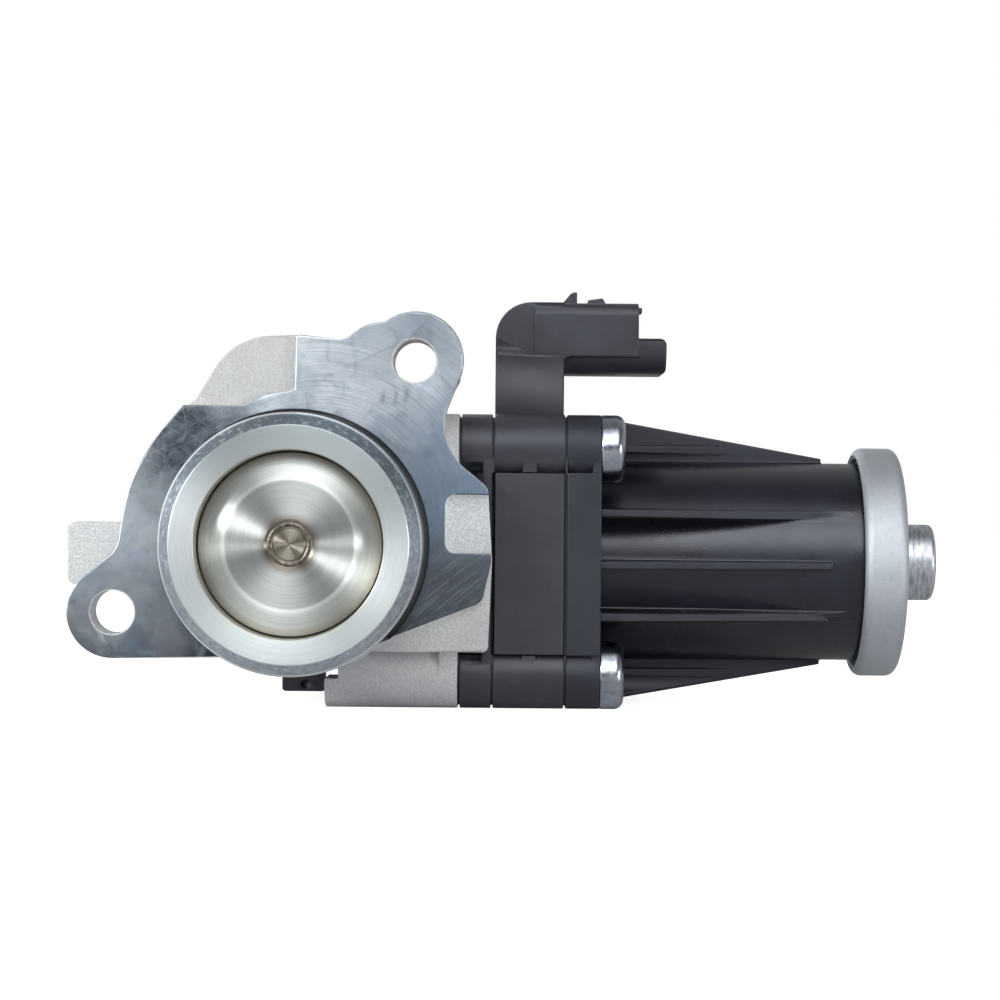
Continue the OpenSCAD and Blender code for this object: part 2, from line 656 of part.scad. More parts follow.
module cover_screws() color("silver")
  for (p = cover_bolts) translate([p.x, cover_y + cover_t, p.y]) rotate([-90, 0, 0])
  difference() {
    union() {
      cylinder(h = cover_head_t, r = cover_head_r);
      translate([0, 0, -cover_t - gasket_t - cover_screw_len])
        cylinder(h = cover_t + gasket_t + cover_screw_len + 0.01, r = cover_screw_r);
    }
    translate([0, 0, cover_head_t - 1.2]) cylinder(h = 2, r = cover_screw_r * 0.95, $fn = 6);
  }

// Sheet between two layers, a little smaller than they are
module layer_gasket(x0, hole_r) color("black") between_x(x0, x0 + gasket_t) difference() {
  case_outline(0.6);
  circle(hole_r);
  at_screws() circle(screw_r + 0.3);
  translate([-case_half - over, panel_lo]) square([plate_pocket_d + over + 1, panel_hi - panel_lo]);
}
module body_gasket() layer_gasket(body_x, pocket_r + 1);
module plate_gasket() layer_gasket(plate_x1, ring_r);
module housing_gasket() color("black") between_x(gear_x1, flange_x0) difference() {
  case_outline(0.6);
  circle(ring_r + 0.3);
  at_screws() circle(screw_r + 0.3);
}

module bearing_plate() color("dimgray") difference() {
  between_x(plate_x0, plate_x1) case_outline();
  front_grooves(plate_x0, plate_x1, plate_x1 - plate_lip, plate_x1 + over);
  translate([plate_x0 - over, sensor_y - over, axis_z + panel_lo])
    cube([plate_t - plate_lip + over, plate_pocket_d + over, panel_hi - panel_lo]);
  translate([plate_x0 - over, sensor_y - over, axis_z + panel_lo])
    cube([plate_t + 2 * over, web_drop + over, panel_hi - panel_lo]);
  between_x(plate_x0 - over, plate_x1 + over) circle(shaft_r + 2);
  between_x(outer_bearing_x0, plate_x1 + over) circle(bearing_r + fit_gap);
  between_x(plate_x0 - over, plate_x1 + over) at_screws() circle(screw_r + 0.3);
  between_x(plate_x0 - over, plate_x0 + 2) rotate(spring_end_a) translate([coil_r, 0]) circle(wire_r + 0.1);
}

module shaft_seal() color("black") tube(pocket_x0 - 0.7, pocket_x0 - 0.1, bearing_r, shaft_r + run_gap);

// Rings of both ball bearings, with the balls' groove
module bearing_ring(x0, r0, r1, ball_r) about_motor() difference() {
  polygon(box_points(r0, x0, r1, x0 + bearing_w, 0.3));
  translate([(shaft_r + bearing_r) / 2, x0 + bearing_w / 2]) circle(ball_r);
}
ball_r = (bearing_r - shaft_r) * 0.36;
race_t = (bearing_r - shaft_r) * 0.29;
bearings_x = [inner_bearing_x0, outer_bearing_x0];
module bearing_outer_rings() color("silver") for (x = bearings_x)
  bearing_ring(x, bearing_r - race_t, bearing_r, ball_r + fit_gap);
module bearing_inner_rings() color("silver") for (x = bearings_x)
  bearing_ring(x, shaft_r + fit_gap, shaft_r + race_t, ball_r + run_gap);
module bearing_balls() color("lightgray") for (x = bearings_x, i = [0:8])
  translate([x + bearing_w / 2, axis_y, axis_z]) rotate([i * 40, 0, 0]) translate([0, (shaft_r + bearing_r) / 2, 0])
    sphere(ball_r);

// Outline across the socket, drawn out from x0 to x1
module along_socket(x0, x1)
  translate([x0, axis_y, 0]) rotate([90, 0, 90]) linear_extrude(x1 - x0) children();

// Outer shape of the gear housing's elbow and socket
module socket_shape() {
  neck_top = socket_low + 3.5;
  elbow_x1 = gear_x1 - 5.8;
  foot_z = axis_z + case_half - 1;
  half_w = socket_w / 2;
  // Neck, and the elbow on it with its cheeks set back
  between_y(socket_y0, socket_y0 + socket_w)
    polygon(rounded([
      [gear_x0, foot_z], [gear_x0, neck_top, 0.3], [gear_x1 + 1, neck_top], [gear_x1 + 1, socket_low + 3],
      [gear_x1 - 0.25, socket_low + 3, 0.6], [gear_x1 - 0.25, foot_z]]));
  between_y(socket_y0 + cheek_inset, socket_y0 + socket_w - cheek_inset)
    polygon(rounded([[gear_x0, foot_z], [gear_x0, socket_top, elbow_r], [gear_x1, socket_top],
                     [gear_x1, foot_z]]));
  // Upper half of the socket, then the lower one with its round end
  along_socket(elbow_x1, socket_x_hi)
    polygon(rounded([[-half_w, neck_top - 0.4, 0.6], [half_w, neck_top - 0.4, 0.6], [half_w, socket_top, 2.6],
                     [-half_w, socket_top, 2.6]]));
  intersection() {
    along_socket(gear_x1 - 0.1, socket_x_lo)
      polygon(rounded([[-half_w, socket_low, socket_round], [half_w, socket_low, socket_round],
                       [half_w, socket_mid, 0.6], [-half_w, socket_mid, 0.6]]));
    between_y(socket_y0 - over, socket_y0 + socket_w + over)
      polygon(rounded([
        [gear_x1 - over, socket_low - over], [gear_x1 - over, socket_mid], [socket_x_lo, socket_mid, 1.4],
        [socket_x_lo, socket_low, 1.1], [socket_x_lo - 4, socket_low - 0.01],
        [socket_x_lo - 4, socket_low - over]]));
  }
  // Latch ramp, guide bump and end stop on the socket's top
  top = socket_top;
  between_y(axis_y - 3, axis_y + 3) polygon(rounded([
    [gear_x1 - 0.6, top - 0.5], [gear_x1 - 0.5, top], [gear_x1 + 1.3, top + 2.2, 0.4], [gear_x1 + 2.1, top + 2.5],
    [gear_x1 + 2.6, top + 2.5, 0.2], [gear_x1 + 2.6, top - 0.5]]));
  between_y(axis_y - 4.5, axis_y + 4.5) polygon(rounded([
    [gear_x1 + 4.7, top - 0.5], [gear_x1 + 4.7, top + 0.85, 0.3], [gear_x1 + 7.6, top + 1.25, 0.3],
    [gear_x1 + 8.7, top - 0.5]]));
  between_y(axis_y - 2, axis_y + 2)
    polygon(box_points(socket_x_hi - 0.5, top - 1.6, socket_x_hi + 1, top - 0.4, 0.3));
}

module blade_shapes(grow) for (i = [0:blade_n - 1]) {
  y = axis_y + (i - (blade_n - 1) / 2) * blade_pitch;
  foot_z = axis_z + case_half - 7;
  neck_x = (gear_x0 + gear_x1) / 2 - 1;
  translate([neck_x - grow, y - blade_t / 2 - grow, socket_mid - blade_w / 2 - grow])
    cube([socket_x_lo - 6 - neck_x + grow, blade_t + 2 * grow, blade_w + 2 * grow]);
  translate([neck_x - grow, y - blade_t / 2 - grow, foot_z])
    cube([blade_w + 2 * grow, blade_t + 2 * grow, socket_mid - foot_z]);
}
module connector_blades() color("goldenrod") blade_shapes(0);

// Cuts a layer's front back to its round bosses beside the flat panel, apart from one web
module front_grooves(x0, x1, web0, web1) difference() {
  between_x(x0 - over, x1 + over) difference() {
    for (z = [[panel_hi, screw_off], [-screw_off, panel_lo]])
      translate([-case_half - over, z[0]]) square([groove_d + over, z[1] - z[0]]);
    at_screws() circle(boss_r);
  }
  between_x(web0, web1) translate([-case_half + web_drop, -web_reach]) square([groove_d, 2 * web_reach]);
}

module gear_housing() color("dimgray") difference() {
  union() {
    between_x(gear_x0, gear_x1) case_outline();
    socket_shape();
  }
  between_x(gear_x0 - over, gear_x1 + over) circle(ring_stop_r);
  between_x(gears_x0 - 0.1, gear_x1 + over) circle(ring_r + fit_gap);
  between_x(gear_x0 - over, gear_x1 + over) at_screws() circle(screw_r + 0.3);
  front_grooves(gear_x0, gear_x1, gear_x0 + 5.5, gear_x0 + 8);
  // Seat of the sensor's cover and the pocket behind it
  translate([gear_x0 - over, sensor_y - over, axis_z + panel_lo])
    cube([gearcase_t + 2 * over, panel_t + over, panel_hi - panel_lo]);
  translate([gear_x0 + 1.4, sensor_y + panel_t - over, axis_z + panel_lo + 2])
    cube([gearcase_t - 2.8, 4.1 + over, panel_hi - panel_lo - 4]);
  blade_shapes(fit_gap);
  // Inside of the socket
  inner = socket_w / 2 - shell_t;
  along_socket(socket_floor, socket_x_lo + 2) polygon(rounded([
    [-inner, socket_low + shell_t, socket_round - shell_t], [inner, socket_low + shell_t, socket_round - shell_t],
    [inner, socket_top - shell_t, 1], [-inner, socket_top - shell_t, 1]]));
}

module sensor_cover() color("dimgray")
  translate([gear_x0 + 0.15, sensor_y, axis_z + panel_lo + 0.1])
    cube([gearcase_t - 0.3, panel_t - fit_gap, panel_hi - panel_lo - 0.2]);

module sensor_board() {
  color("darkgreen") translate([gear_x0 + 1.5, board_y, axis_z + panel_lo + 2.2])
    cube([gearcase_t - 3, 1.2, panel_hi - panel_lo - 4.4]);
  color("black") translate([gear_x0 + 3, board_y + 1.2, axis_z - 2.5]) cube([4, 1.4, 5]);
  color("black") translate([gear_x0 + 4, board_y + 1.2, axis_z - 12]) cube([3, 1, 6]);
  color("tan") for (z = [5, 8.5, 12]) translate([gear_x0 + 4, board_y + 1.2, axis_z + z]) cube([2.4, 0.9, 1.6]);
}

module ring_gear() color("lightgray") between_x(gears_x0, gears_x1) difference() {
  circle(ring_r);
  rotate(180 / ring_z) polygon(gear_points(ring_z, ring_rp - gear_m, ring_rp + 1.25 * gear_m, backlash));
}

module sun_pinion() color("lightsteelblue") between_x(gears_x0, gears_x1 + 1.5) difference() {
  polygon(gear_points(sun_z, sun_rp - 1.25 * gear_m, sun_rp + gear_m, -backlash));
  circle(pinion_bore_r + fit_gap);
}

// Each planet has one tooth that points straight outwards
module planet(i) color("khaki")
between_x(gears_x0, gears_x1) rotate(planet_angle(i)) translate([planet_c, 0]) difference() {
  polygon(gear_points(planet_z, planet_rp - 1.25 * gear_m, planet_rp + gear_m, -backlash));
  circle(pin_r + run_gap);
}
function planet_angle(i) = 90 + 360 / planet_n * i;
module planet_gear_1() planet(0);
module planet_gear_2() planet(1);
module planet_gear_3() planet(2);

module planet_carrier() color("gray") between_x(carrier_x0, carrier_x1) difference() {
  union() {
    circle(carrier_r - 2.2);
    for (i = [0:planet_n - 1]) rotate(planet_angle(i)) translate([planet_c, 0]) circle(carrier_r - planet_c);
  }
  circle(shaft_r + fit_gap);
  for (i = [0:planet_n - 1]) rotate(planet_angle(i)) translate([planet_c, 0]) circle(pin_r + fit_gap);
}

module planet_pins() color("silver") for (i = [0:planet_n - 1])
  between_x(carrier_x0, gears_x1 + 0.3) rotate(planet_angle(i)) translate([planet_c, 0]) circle(pin_r);

// Magnet on the carrier's edge, facing the sensor at rest
module position_magnet() color("black") between_x(carrier_x0, carrier_x1) difference() {
  circle(ring_stop_r - 0.6);
  circle(carrier_r - 2.2 + fit_gap);
  for (i = [0:planet_n - 1]) rotate(planet_angle(i)) translate([planet_c, 0]) circle(carrier_r - planet_c + fit_gap);
  rotate(-60) translate([-30, 0]) square([60, 60]);
  rotate(60) translate([-30, -60]) square([60, 60]);
}

module output_shaft() color("silver") about_motor() polygon([
  [0, cam_x0 - 0.2], [3.3, cam_x0 - 0.2], [3.3, cam_x1], [shaft_r, cam_x1], [shaft_r, carrier_x1 - 0.3],
  [shaft_r - 0.3, carrier_x1], [0, carrier_x1],
]);

// Spiral slot that gives the stem the same travel for each degree of the cam
module drive_cam() color("lightgray") difference() {
  union() {
    between_x(cam_x0, cam_x1) circle(7);
    between_x(cam_x0, cam_x1)
      polygon(concat([[0, 0]], [for (a = [0:slot_step:cam_turn]) slot_side(a, slot_half + cam_rim)]));
    for (a = [0, cam_turn]) between_x(cam_x0, cam_x1) translate(slot_at(a)) circle(slot_half + cam_rim);
  }
  between_x(cam_x0 - over, cam_x1 + over) circle(3.3 + fit_gap);
  between_x(cam_x0 - over, cam_x1 + over)
    polygon(concat([for (a = [0:slot_step:cam_turn]) slot_side(a, slot_half)],
                   [for (a = [cam_turn:-slot_step:0]) slot_side(a, -slot_half)]));
  for (a = [0, cam_turn]) between_x(cam_x0 - over, cam_x1 + over) translate(slot_at(a)) circle(slot_half);
}

// Disc on the shaft that the spring's moving end sits in
hub_x0 = pocket_x0 + 0.5;
hub_t = 2;
module spring_hub() color("gray") between_x(hub_x0, hub_x0 + hub_t) difference() {
  circle(coil_r + wire_r + 0.4);
  circle(shaft_r + fit_gap);
  translate([coil_r, 0]) circle(wire_r + 0.1);
}

coil_x0 = hub_x0 + hub_t + wire_r + 0.2;
coil_x1 = plate_x0 - wire_r - 0.6;
coil_steps = 20;
spring_end_a = 0;
function coil_point(k) = let (n = coil_steps * coil_turns, a = 360 * k / coil_steps)
  [coil_x0 + (coil_x1 - coil_x0) * k / n, coil_r * cos(a), coil_r * sin(a)];
module return_spring() color("darkgray") {
  n = coil_steps * coil_turns;
  path = concat([[hub_x0 + 0.2, coil_r, 0]], [for (k = [0:n]) coil_point(k)], [[plate_x0 + 1.6, coil_r, 0]]);
  m = len(path);
  sides = 8;
  pts = [for (k = [0:m - 1])
    let (t = unit(path[min(k + 1, m - 1)] - path[max(k - 1, 0)]), r = unit([0, path[k].y, path[k].z]), s = cross(t, r))
    for (j = [0:sides - 1]) path[k] + wire_r * (cos(360 * j / sides) * r + sin(360 * j / sides) * s)];
  translate([0, axis_y, axis_z]) polyhedron(pts, concat(
    [[for (j = [0:sides - 1]) j]],
    [for (k = [0:m - 2], j = [0:sides - 1]) let (a = k * sides + j, b = k * sides + (j + 1) % sides)
      [a, a + sides, b + sides, b]],
    [[for (j = [sides - 1:-1:0]) (m - 1) * sides + j]]));
}

// Plate rib as an [x, distance from axis] outline that falls to the given reach at its far end
module rib_outline(reach) polygon([
  [flange_x1 - 0.5, 10], [flange_x1 - 0.5, rib_near], [flange_x1 + 4, rib_near], [rib_x1, reach], [rib_x1, 10]]);

module motor_housing() color("dimgray") difference() {
  union() {
    between_x(flange_x0, flange_x1) case_outline();
    between_x(gears_x1 + 0.15, flange_x0 + 0.01) circle(ring_r - 0.1);
    between_x(flange_x1 - 0.01, barrel_x1) circle(barrel_r);
    between_x(cap_x0 + 1, barrel_x1) circle(collar_r);
    for (s = [-1, 1]) translate([0, axis_y, axis_z]) {
      scale([1, 1, s]) translate([0, rib_t / 2, 0]) rotate([90, 0, 0]) linear_extrude(rib_t) rib_outline(rib_far);
      // The outer two run out on the round barrel
      for (k = [-1, 0, 1]) scale([1, s, 1]) translate([0, 0, k * rib_pitch - rib_shift - rib_t / 2])
        linear_extrude(rib_t) rib_outline(k == 0 ? rib_far : rib_run_out);
      // Low ribs beside the flange's corners, which run out on the plate ribs
      for (z = [-1, 1]) scale([1, s, z]) translate([0, 0, low_rib_z - rib_t / 2]) linear_extrude(rib_t)
        polygon([[flange_x1 - 0.5, 0], [flange_x1 - 0.5, 4], [flange_x1 + 27.5, rib_t / 2 - 0.05],
                 [flange_x1 + 27.5, 0]]);
    }
  }
  between_x(gears_x1, flange_x0 + 5) circle(ring_rp + 0.4);
  between_x(can_x0 - 0.01, cap_x1) circle(barrel_in_r);
  between_x(flange_x0 - over, flange_x1 + over) at_screws() circle(screw_r + 0.3);
  front_grooves(flange_x0, flange_x1, flange_x0 + 4.9, flange_x1 + over);
}

module end_cap() color("silver") about_motor() polygon(rounded([
  [cap_in_r, cap_x0, 0.6], [cap_r, cap_x0, 1.7], [cap_r, cap_x1, 1.9], [cup_r + 0.25, cap_x1, 0.5],
  [cup_r + 0.25, cap_x1 - 2, 0.3], [cap_in_r, cap_x1 - 2, 0.25],
]));

module rubber_ring() color("black") tube(can_x1 + 0.02, cap_x1 - 2.02, can_r - 1.5, cup_r + 2);

// Deep-drawn can with the rear bearing's cup
module motor_can() color("silver") about_motor() polygon(rounded([
  [can_r - can_t, can_x0 + 0.3], [can_r, can_x0 + 0.3], [can_r, can_x1, 1.6], [cup_r, can_x1, 0.4],
  [cup_r, cup_x, 1.1], [0, cup_x], [0, cup_x - can_t], [cup_r - can_t, cup_x - can_t, 0.4],
  [cup_r - can_t, can_x1 - can_t, 0.3], [can_r - can_t, can_x1 - can_t, 0.4],
]));

module motor_magnets() color("black") between_x(core_x0 - 5, core_x1 + 3) difference() {
  circle(magnet_r1);
  circle(magnet_r0);
  for (s = [0, 180]) rotate(s) polygon(magnet_r1 * [[0, 0], [2, -0.93], [2, 0.93]]);
}

bush_w = 5.5;
bush_x = [can_x0 + 0.6, can_x1 + 1.2];
module motor_bushes() color("darkgoldenrod") {
  tube(bush_x[0], bush_x[0] + bush_w, 5, rotor_shaft_r + run_gap);
  tube(bush_x[1], bush_x[1] + bush_w, cup_r - can_t - fit_gap, rotor_shaft_r + run_gap);
}

module brush_holder() color("saddlebrown") difference() {
  union() {
    between_x(can_x0 + 0.3, can_x0 + 2.8) circle(can_r - can_t - fit_gap);
    between_x(can_x0 + 0.3, can_x0 + 0.6 + bush_w) circle(6.6);
    for (s = [0, 180]) between_x(can_x0 + 2.7, brush_x0 + brush_len + 1.5) rotate(s)
      translate([commutator_r + 1, -brush_w / 2 - 1.5]) square([can_r - can_t - commutator_r - 2, brush_w + 3]);
  }
  between_x(can_x0 - over, bush_x[0] + bush_w + over) circle(5 + fit_gap);
  between_x(brush_x0 - 0.05, brush_x0 + brush_len + 0.05)
    square([2 * can_r, brush_w + 0.1], center = true);
}

module carbon_brushes() color("black")
for (s = [0, 180]) between_x(brush_x0, brush_x0 + brush_len) rotate(s) difference() {
  translate([commutator_r - 1, -brush_w / 2]) square([brush_h, brush_w]);
  circle(commutator_r + 0.06);
}

// Small coil behind each brush
module brush_springs() color("silver")
for (s = [0, 180]) translate([brush_x0 + brush_len / 2, axis_y, axis_z]) rotate([s - 90, 0, 0]) {
  z0 = commutator_r - 1 + brush_h + 0.02;
  z1 = can_r - can_t - 0.05;
  n = 8;
  translate([0, 0, z0]) rotate_extrude() polygon(concat(
    [[brush_spring_r - 0.6, 0]], [for (k = [0:n]) [brush_spring_r - (k % 2 == 0 ? 0.3 : 0), (z1 - z0) * k / n]],
    [[brush_spring_r - 0.6, z1 - z0]]));
}

module motor_shaft() color("silver") about_motor() polygon([
  [0, gears_x0], [pinion_bore_r, gears_x0], [pinion_bore_r, gears_x1 + 1.6], [rotor_shaft_r, gears_x1 + 1.6],
  [rotor_shaft_r, cup_x - can_t - 1.4], [rotor_shaft_r - 0.5, cup_x - can_t - 0.9], [0, cup_x - can_t - 0.9],
]);

module commutator() color("peru") between_x(brush_x0 - 0.5, core_x0 - 4.2) difference() {
  circle(commutator_r);
  circle(rotor_shaft_r + fit_gap);
  for (i = [0:poles - 1]) rotate(360 / poles * i) translate([commutator_r - 0.8, -0.2]) square([2, 0.4]);
}

module slot_shape() for (i = [0:poles - 1]) rotate(360 / poles * (i + 0.5)) {
  translate([slot_r0, 0]) circle(1.5);
  polygon([[slot_r0, -1.5], [slot_r1, -2.6], [slot_r1, 2.6], [slot_r0, 1.5]]);
  translate([slot_r1 - 0.6, -0.7]) square([core_r, 1.4]);
}
module armature_core() color("slategray") between_x(core_x0, core_x1) difference() {
  circle(core_r);
  circle(rotor_shaft_r + fit_gap);
  slot_shape();
}

module armature_windings() color("chocolate") {
  between_x(core_x0 - 0.03, core_x1 + 0.03) for (i = [0:poles - 1]) rotate(360 / poles * (i + 0.5)) {
    translate([slot_r0, 0]) circle(1.3);
    polygon([[slot_r0, -1.3], [slot_r1 - 0.2, -2.2], [slot_r1 - 0.2, 2.2], [slot_r0, 1.3]]);
  }
  for (x = [[core_x0 - 3.8, core_x0 - 0.02], [core_x1 + 0.02, core_x1 + 3.8]])
    about_motor() polygon(box_points(rotor_shaft_r + 1.5, x[0], core_r - 1.2, x[1], 1.2));
}

module housing_screws() color("silver") for (y = [-1, 1], z = [-1, 1])
  translate([flange_x1, axis_y + y * screw_off, axis_z + z * screw_off]) rotate([0, 90, 0]) difference() {
    union() {
      rotate_extrude() polygon(rounded([[0, 0], [head_r, 0, 0.3], [head_r, head_t, 1.8], [0, head_t]]));
      translate([0, 0, -screw_len + 1.5]) cylinder(h = screw_len - 1.49, r = screw_r);
    }
    translate([0, 0, head_t - 2.6]) cylinder(h = 3, r = head_r * 0.48, $fn = 6);
  }

valve_body();
seat_tube();
stem_guide();
stem_seal();
deposit_shield();
rear_cover();
cover_gasket();
cover_screws();
body_gasket();
bearing_plate();
shaft_seal();
plate_gasket();
gear_housing();
connector_blades();
sensor_board();
sensor_cover();
ring_gear();
bearing_outer_rings();
bearing_balls();
housing_gasket();
motor_housing();
motor_can();
motor_magnets();
brush_holder();
carbon_brushes();
brush_springs();
motor_bushes();
rubber_ring();
end_cap();
housing_screws();
motor_shaft();
sun_pinion();
commutator();
armature_core();
armature_windings();
planet_carrier();
planet_pins();
output_shaft();
spring_hub();
bearing_inner_rings();
drive_cam();
position_magnet();
planet_gear_1();
planet_gear_2();
planet_gear_3();
return_spring();
poppet();
valve_stem();
roller_pin();
cam_roller();
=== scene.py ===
import math

import bmesh
import bpy
from mathutils import Matrix, Vector
from mathutils.bvhtree import BVHTree
from mathutils.kdtree import KDTree


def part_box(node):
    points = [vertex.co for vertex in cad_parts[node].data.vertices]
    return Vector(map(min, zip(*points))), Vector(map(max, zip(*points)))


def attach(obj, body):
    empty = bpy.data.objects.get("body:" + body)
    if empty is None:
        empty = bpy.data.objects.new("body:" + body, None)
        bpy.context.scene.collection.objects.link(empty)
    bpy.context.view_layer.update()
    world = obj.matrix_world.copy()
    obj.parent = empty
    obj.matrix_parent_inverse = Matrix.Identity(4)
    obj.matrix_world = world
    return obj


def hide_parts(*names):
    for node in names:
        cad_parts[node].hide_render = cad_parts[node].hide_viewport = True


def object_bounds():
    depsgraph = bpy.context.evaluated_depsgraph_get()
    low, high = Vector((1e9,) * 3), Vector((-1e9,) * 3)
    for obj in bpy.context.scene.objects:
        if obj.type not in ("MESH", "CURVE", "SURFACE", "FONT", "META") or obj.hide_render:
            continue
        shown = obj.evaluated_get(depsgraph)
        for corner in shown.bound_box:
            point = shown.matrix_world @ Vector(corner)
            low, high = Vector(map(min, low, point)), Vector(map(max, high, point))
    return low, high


# An electric exhaust gas recirculation valve, dressed in the order in which it is put together.
# Lengths are in metres, and the stem's axis is the line x = 0, z = 0.
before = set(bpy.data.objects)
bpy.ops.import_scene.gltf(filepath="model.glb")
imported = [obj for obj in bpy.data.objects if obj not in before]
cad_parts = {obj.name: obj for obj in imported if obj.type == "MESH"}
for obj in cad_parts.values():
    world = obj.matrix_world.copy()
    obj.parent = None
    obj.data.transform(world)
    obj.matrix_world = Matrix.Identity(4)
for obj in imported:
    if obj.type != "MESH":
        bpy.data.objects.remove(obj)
cad_low, cad_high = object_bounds()
origin, x_axis, y_axis = (0.0, 0.0, 0.0), (1.0, 0.0, 0.0), (0.0, 1.0, 0.0)

# Valve body
# A sand casting in aluminium with two bolt lugs, the gas chamber and the cam's case in one piece.
# The flange face and the faces under the covers are machined; the rest keeps its grainy skin.


def paint(red, green, blue):
    """A colour on the scale from 0 to 255, as the linear colour that a shader takes."""
    return (*(((c / 255 + 0.055) / 1.055) ** 2.4 for c in (red, green, blue)), 1)


def add(tree, kind, plugs=None, **settings):
    """Adds a node; plugs gives sockets a value or the socket that feeds them."""
    node = tree.nodes.new(kind)
    for name, value in settings.items():
        setattr(node, name, value)
    for socket, value in (plugs or {}).items():
        if isinstance(value, bpy.types.NodeSocket):
            tree.links.new(value, node.inputs[socket])
        else:
            node.inputs[socket].default_value = value
    return node


def put(tree, kind, plugs=None, **settings):
    """Adds a shader node, named without the first part that they all share."""
    return add(tree, "ShaderNode" + kind, plugs, **settings)


def finish(name, colour, metallic, roughness, **more):
    """A new material; gives it with its tree, its shader's sockets and its Object coordinates."""
    material = bpy.data.materials.new(name)
    material.use_nodes = True
    tree = material.node_tree
    shader = tree.nodes["Principled BSDF"].inputs
    shader["Base Color"].default_value = colour
    shader["Metallic"].default_value = metallic
    shader["Roughness"].default_value = roughness
    for socket, value in more.items():
        shader[socket.replace("_", " ")].default_value = value
    return material, tree, shader, put(tree, "TexCoord").outputs["Object"]


def mottle(tree, where, size, detail=3.0, roughness=0.5, distortion=0.0):
    """Noise from 0 to 1 whose lumps are about size metres wide."""
    return put(tree, "TexNoise", {
        "Vector": where, "Scale": 1 / size, "Detail": detail, "Roughness": roughness,
        "Distortion": distortion}).outputs[0]


def span(tree, value, low, high, first=0.0, last=1.0):
    """Stretches the values from low to high over first to last, and holds them there."""
    return put(tree, "MapRange", {
        "Value": value, "From Min": low, "From Max": high, "To Min": first, "To Max": last,
    }).outputs["Result"]


def reckon(tree, operation, first, second=0.0):
    """The result of a Math node."""
    return put(tree, "Math", {0: first, 1: second}, operation=operation).outputs[0]


def cover(tree, share, under, top):
    """The colour under, hidden by the colour top as far as share says."""
    return put(tree, "Mix", {0: share, 6: under, 7: top}, data_type="RGBA").outputs[2]


def relief(tree, shader, height, depth):
    """Gives the surface a relief of that depth."""
    normal = put(tree, "Bump", {"Distance": depth, "Height": height}).outputs[0]
    tree.links.new(normal, shader["Normal"])


def near(tree, where, centre, reach):
    """1 at a point and 0 from reach away on."""
    away = put(tree, "VectorMath", {0: where, 1: centre}, operation="DISTANCE").outputs["Value"]
    return span(tree, away, 0.0, reach, 1.0, 0.0)


def around(tree, where, centre, axis):
    """Distance from an axis, angle round it, and the direction in which a lathe cuts."""
    arm = put(tree, "VectorMath", {0: where, 1: centre}, operation="SUBTRACT").outputs[0]
    flat = [0.0 if part else 1.0 for part in axis]
    arm = put(tree, "VectorMath", {0: arm, 1: flat}, operation="MULTIPLY").outputs[0]
    distance = put(tree, "VectorMath", {0: arm}, operation="LENGTH").outputs["Value"]
    parts = put(tree, "SeparateXYZ", {0: arm}).outputs
    first, second = (parts[i] for i in range(3) if flat[i])
    cut = put(tree, "VectorMath", {0: axis, 1: arm}, operation="CROSS_PRODUCT").outputs[0]
    cut = put(tree, "VectorMath", {0: cut}, operation="NORMALIZE").outputs[0]
    return distance, reckon(tree, "ARCTAN2", second, first), cut


def streaks(tree, distance, angle, width, length):
    """Noise drawn out along a lathe's cut: width across it, length as an angle along it."""
    spot = put(tree, "CombineXYZ", {
        0: reckon(tree, "MULTIPLY", distance, 1 / width),
        1: reckon(tree, "MULTIPLY", angle, 1 / length)})
    return mottle(tree, spot.outputs[0], 1.0, detail=4.0, roughness=0.65)


def drawn(tree, where, turn, width, length):
    """Noise drawn out into straight marks in the plane y = 0, turned about Y."""
    spot = put(tree, "Mapping", {
        "Vector": where, "Rotation": (0.0, math.radians(turn), 0.0), "Scale": (length, 1.0, width)},
        vector_type="TEXTURE")
    return mottle(tree, spot.outputs[0], 1.0, detail=3.0, roughness=0.6)


# Edges that turn by more than this are sharp, and corners this close together are one
crease = math.radians(35)
same_spot = 2e-6


def bevelled(node, ease, barred, split):
    """A CAD piece's form with its sharp edges eased, and the spots where that went wrong."""
    # Faces that meet at less than flat become one, and no bevel comes within clear of a barred spot
    flat, clear = math.radians(0.3), 2.5 * ease
    form = bmesh.new()
    form.from_mesh(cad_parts[node].data)
    bmesh.ops.remove_doubles(form, verts=form.verts, dist=same_spot)
    bmesh.ops.dissolve_limit(form, angle_limit=flat, verts=form.verts, edges=form.edges)
    surface = BVHTree.FromBMesh(form)
    spots = KDTree(len(barred))
    for k, spot in enumerate(barred):
        spots.insert(spot, k)
    spots.balance()
    sharp = []
    for edge in form.edges:
        if not edge.is_manifold or edge.calc_face_angle() < crease:
            continue
        first, last = (v.co for v in edge.verts)
        reach = (last - first).length
        for spot, _, _ in spots.find_range(first.lerp(last, 0.5), reach / 2 + clear):
            along = min(1, max(0, (spot - first).dot(last - first) / reach ** 2)) if reach else 0
            if (first.lerp(last, along) - spot).length < clear:
                break
        else:
            sharp.append(edge)
    bmesh.ops.bevel(form, geom=sharp, offset=ease, offset_type="OFFSET", segments=2,
                    profile=0.5, affect="EDGES", clamp_overlap=False)
    bmesh.ops.triangulate(form, faces=form.faces, ngon_method=split)
    # A good bevel keeps its corners and faces this near to the old surface, and turns none over
    corner_off, face_off, sliver = 1.3 * ease, 0.8 * ease, 1e-10
    wrong = [v.co.copy() for v in form.verts if surface.find_nearest(v.co)[3] > corner_off]
    for face in form.faces:
        centre = face.calc_center_median()
        _, normal, _, away = surface.find_nearest(centre)
        if away > face_off or (face.calc_area() > sliver and face.normal.dot(normal) < 0):
            wrong.append(centre)
    return form, wrong


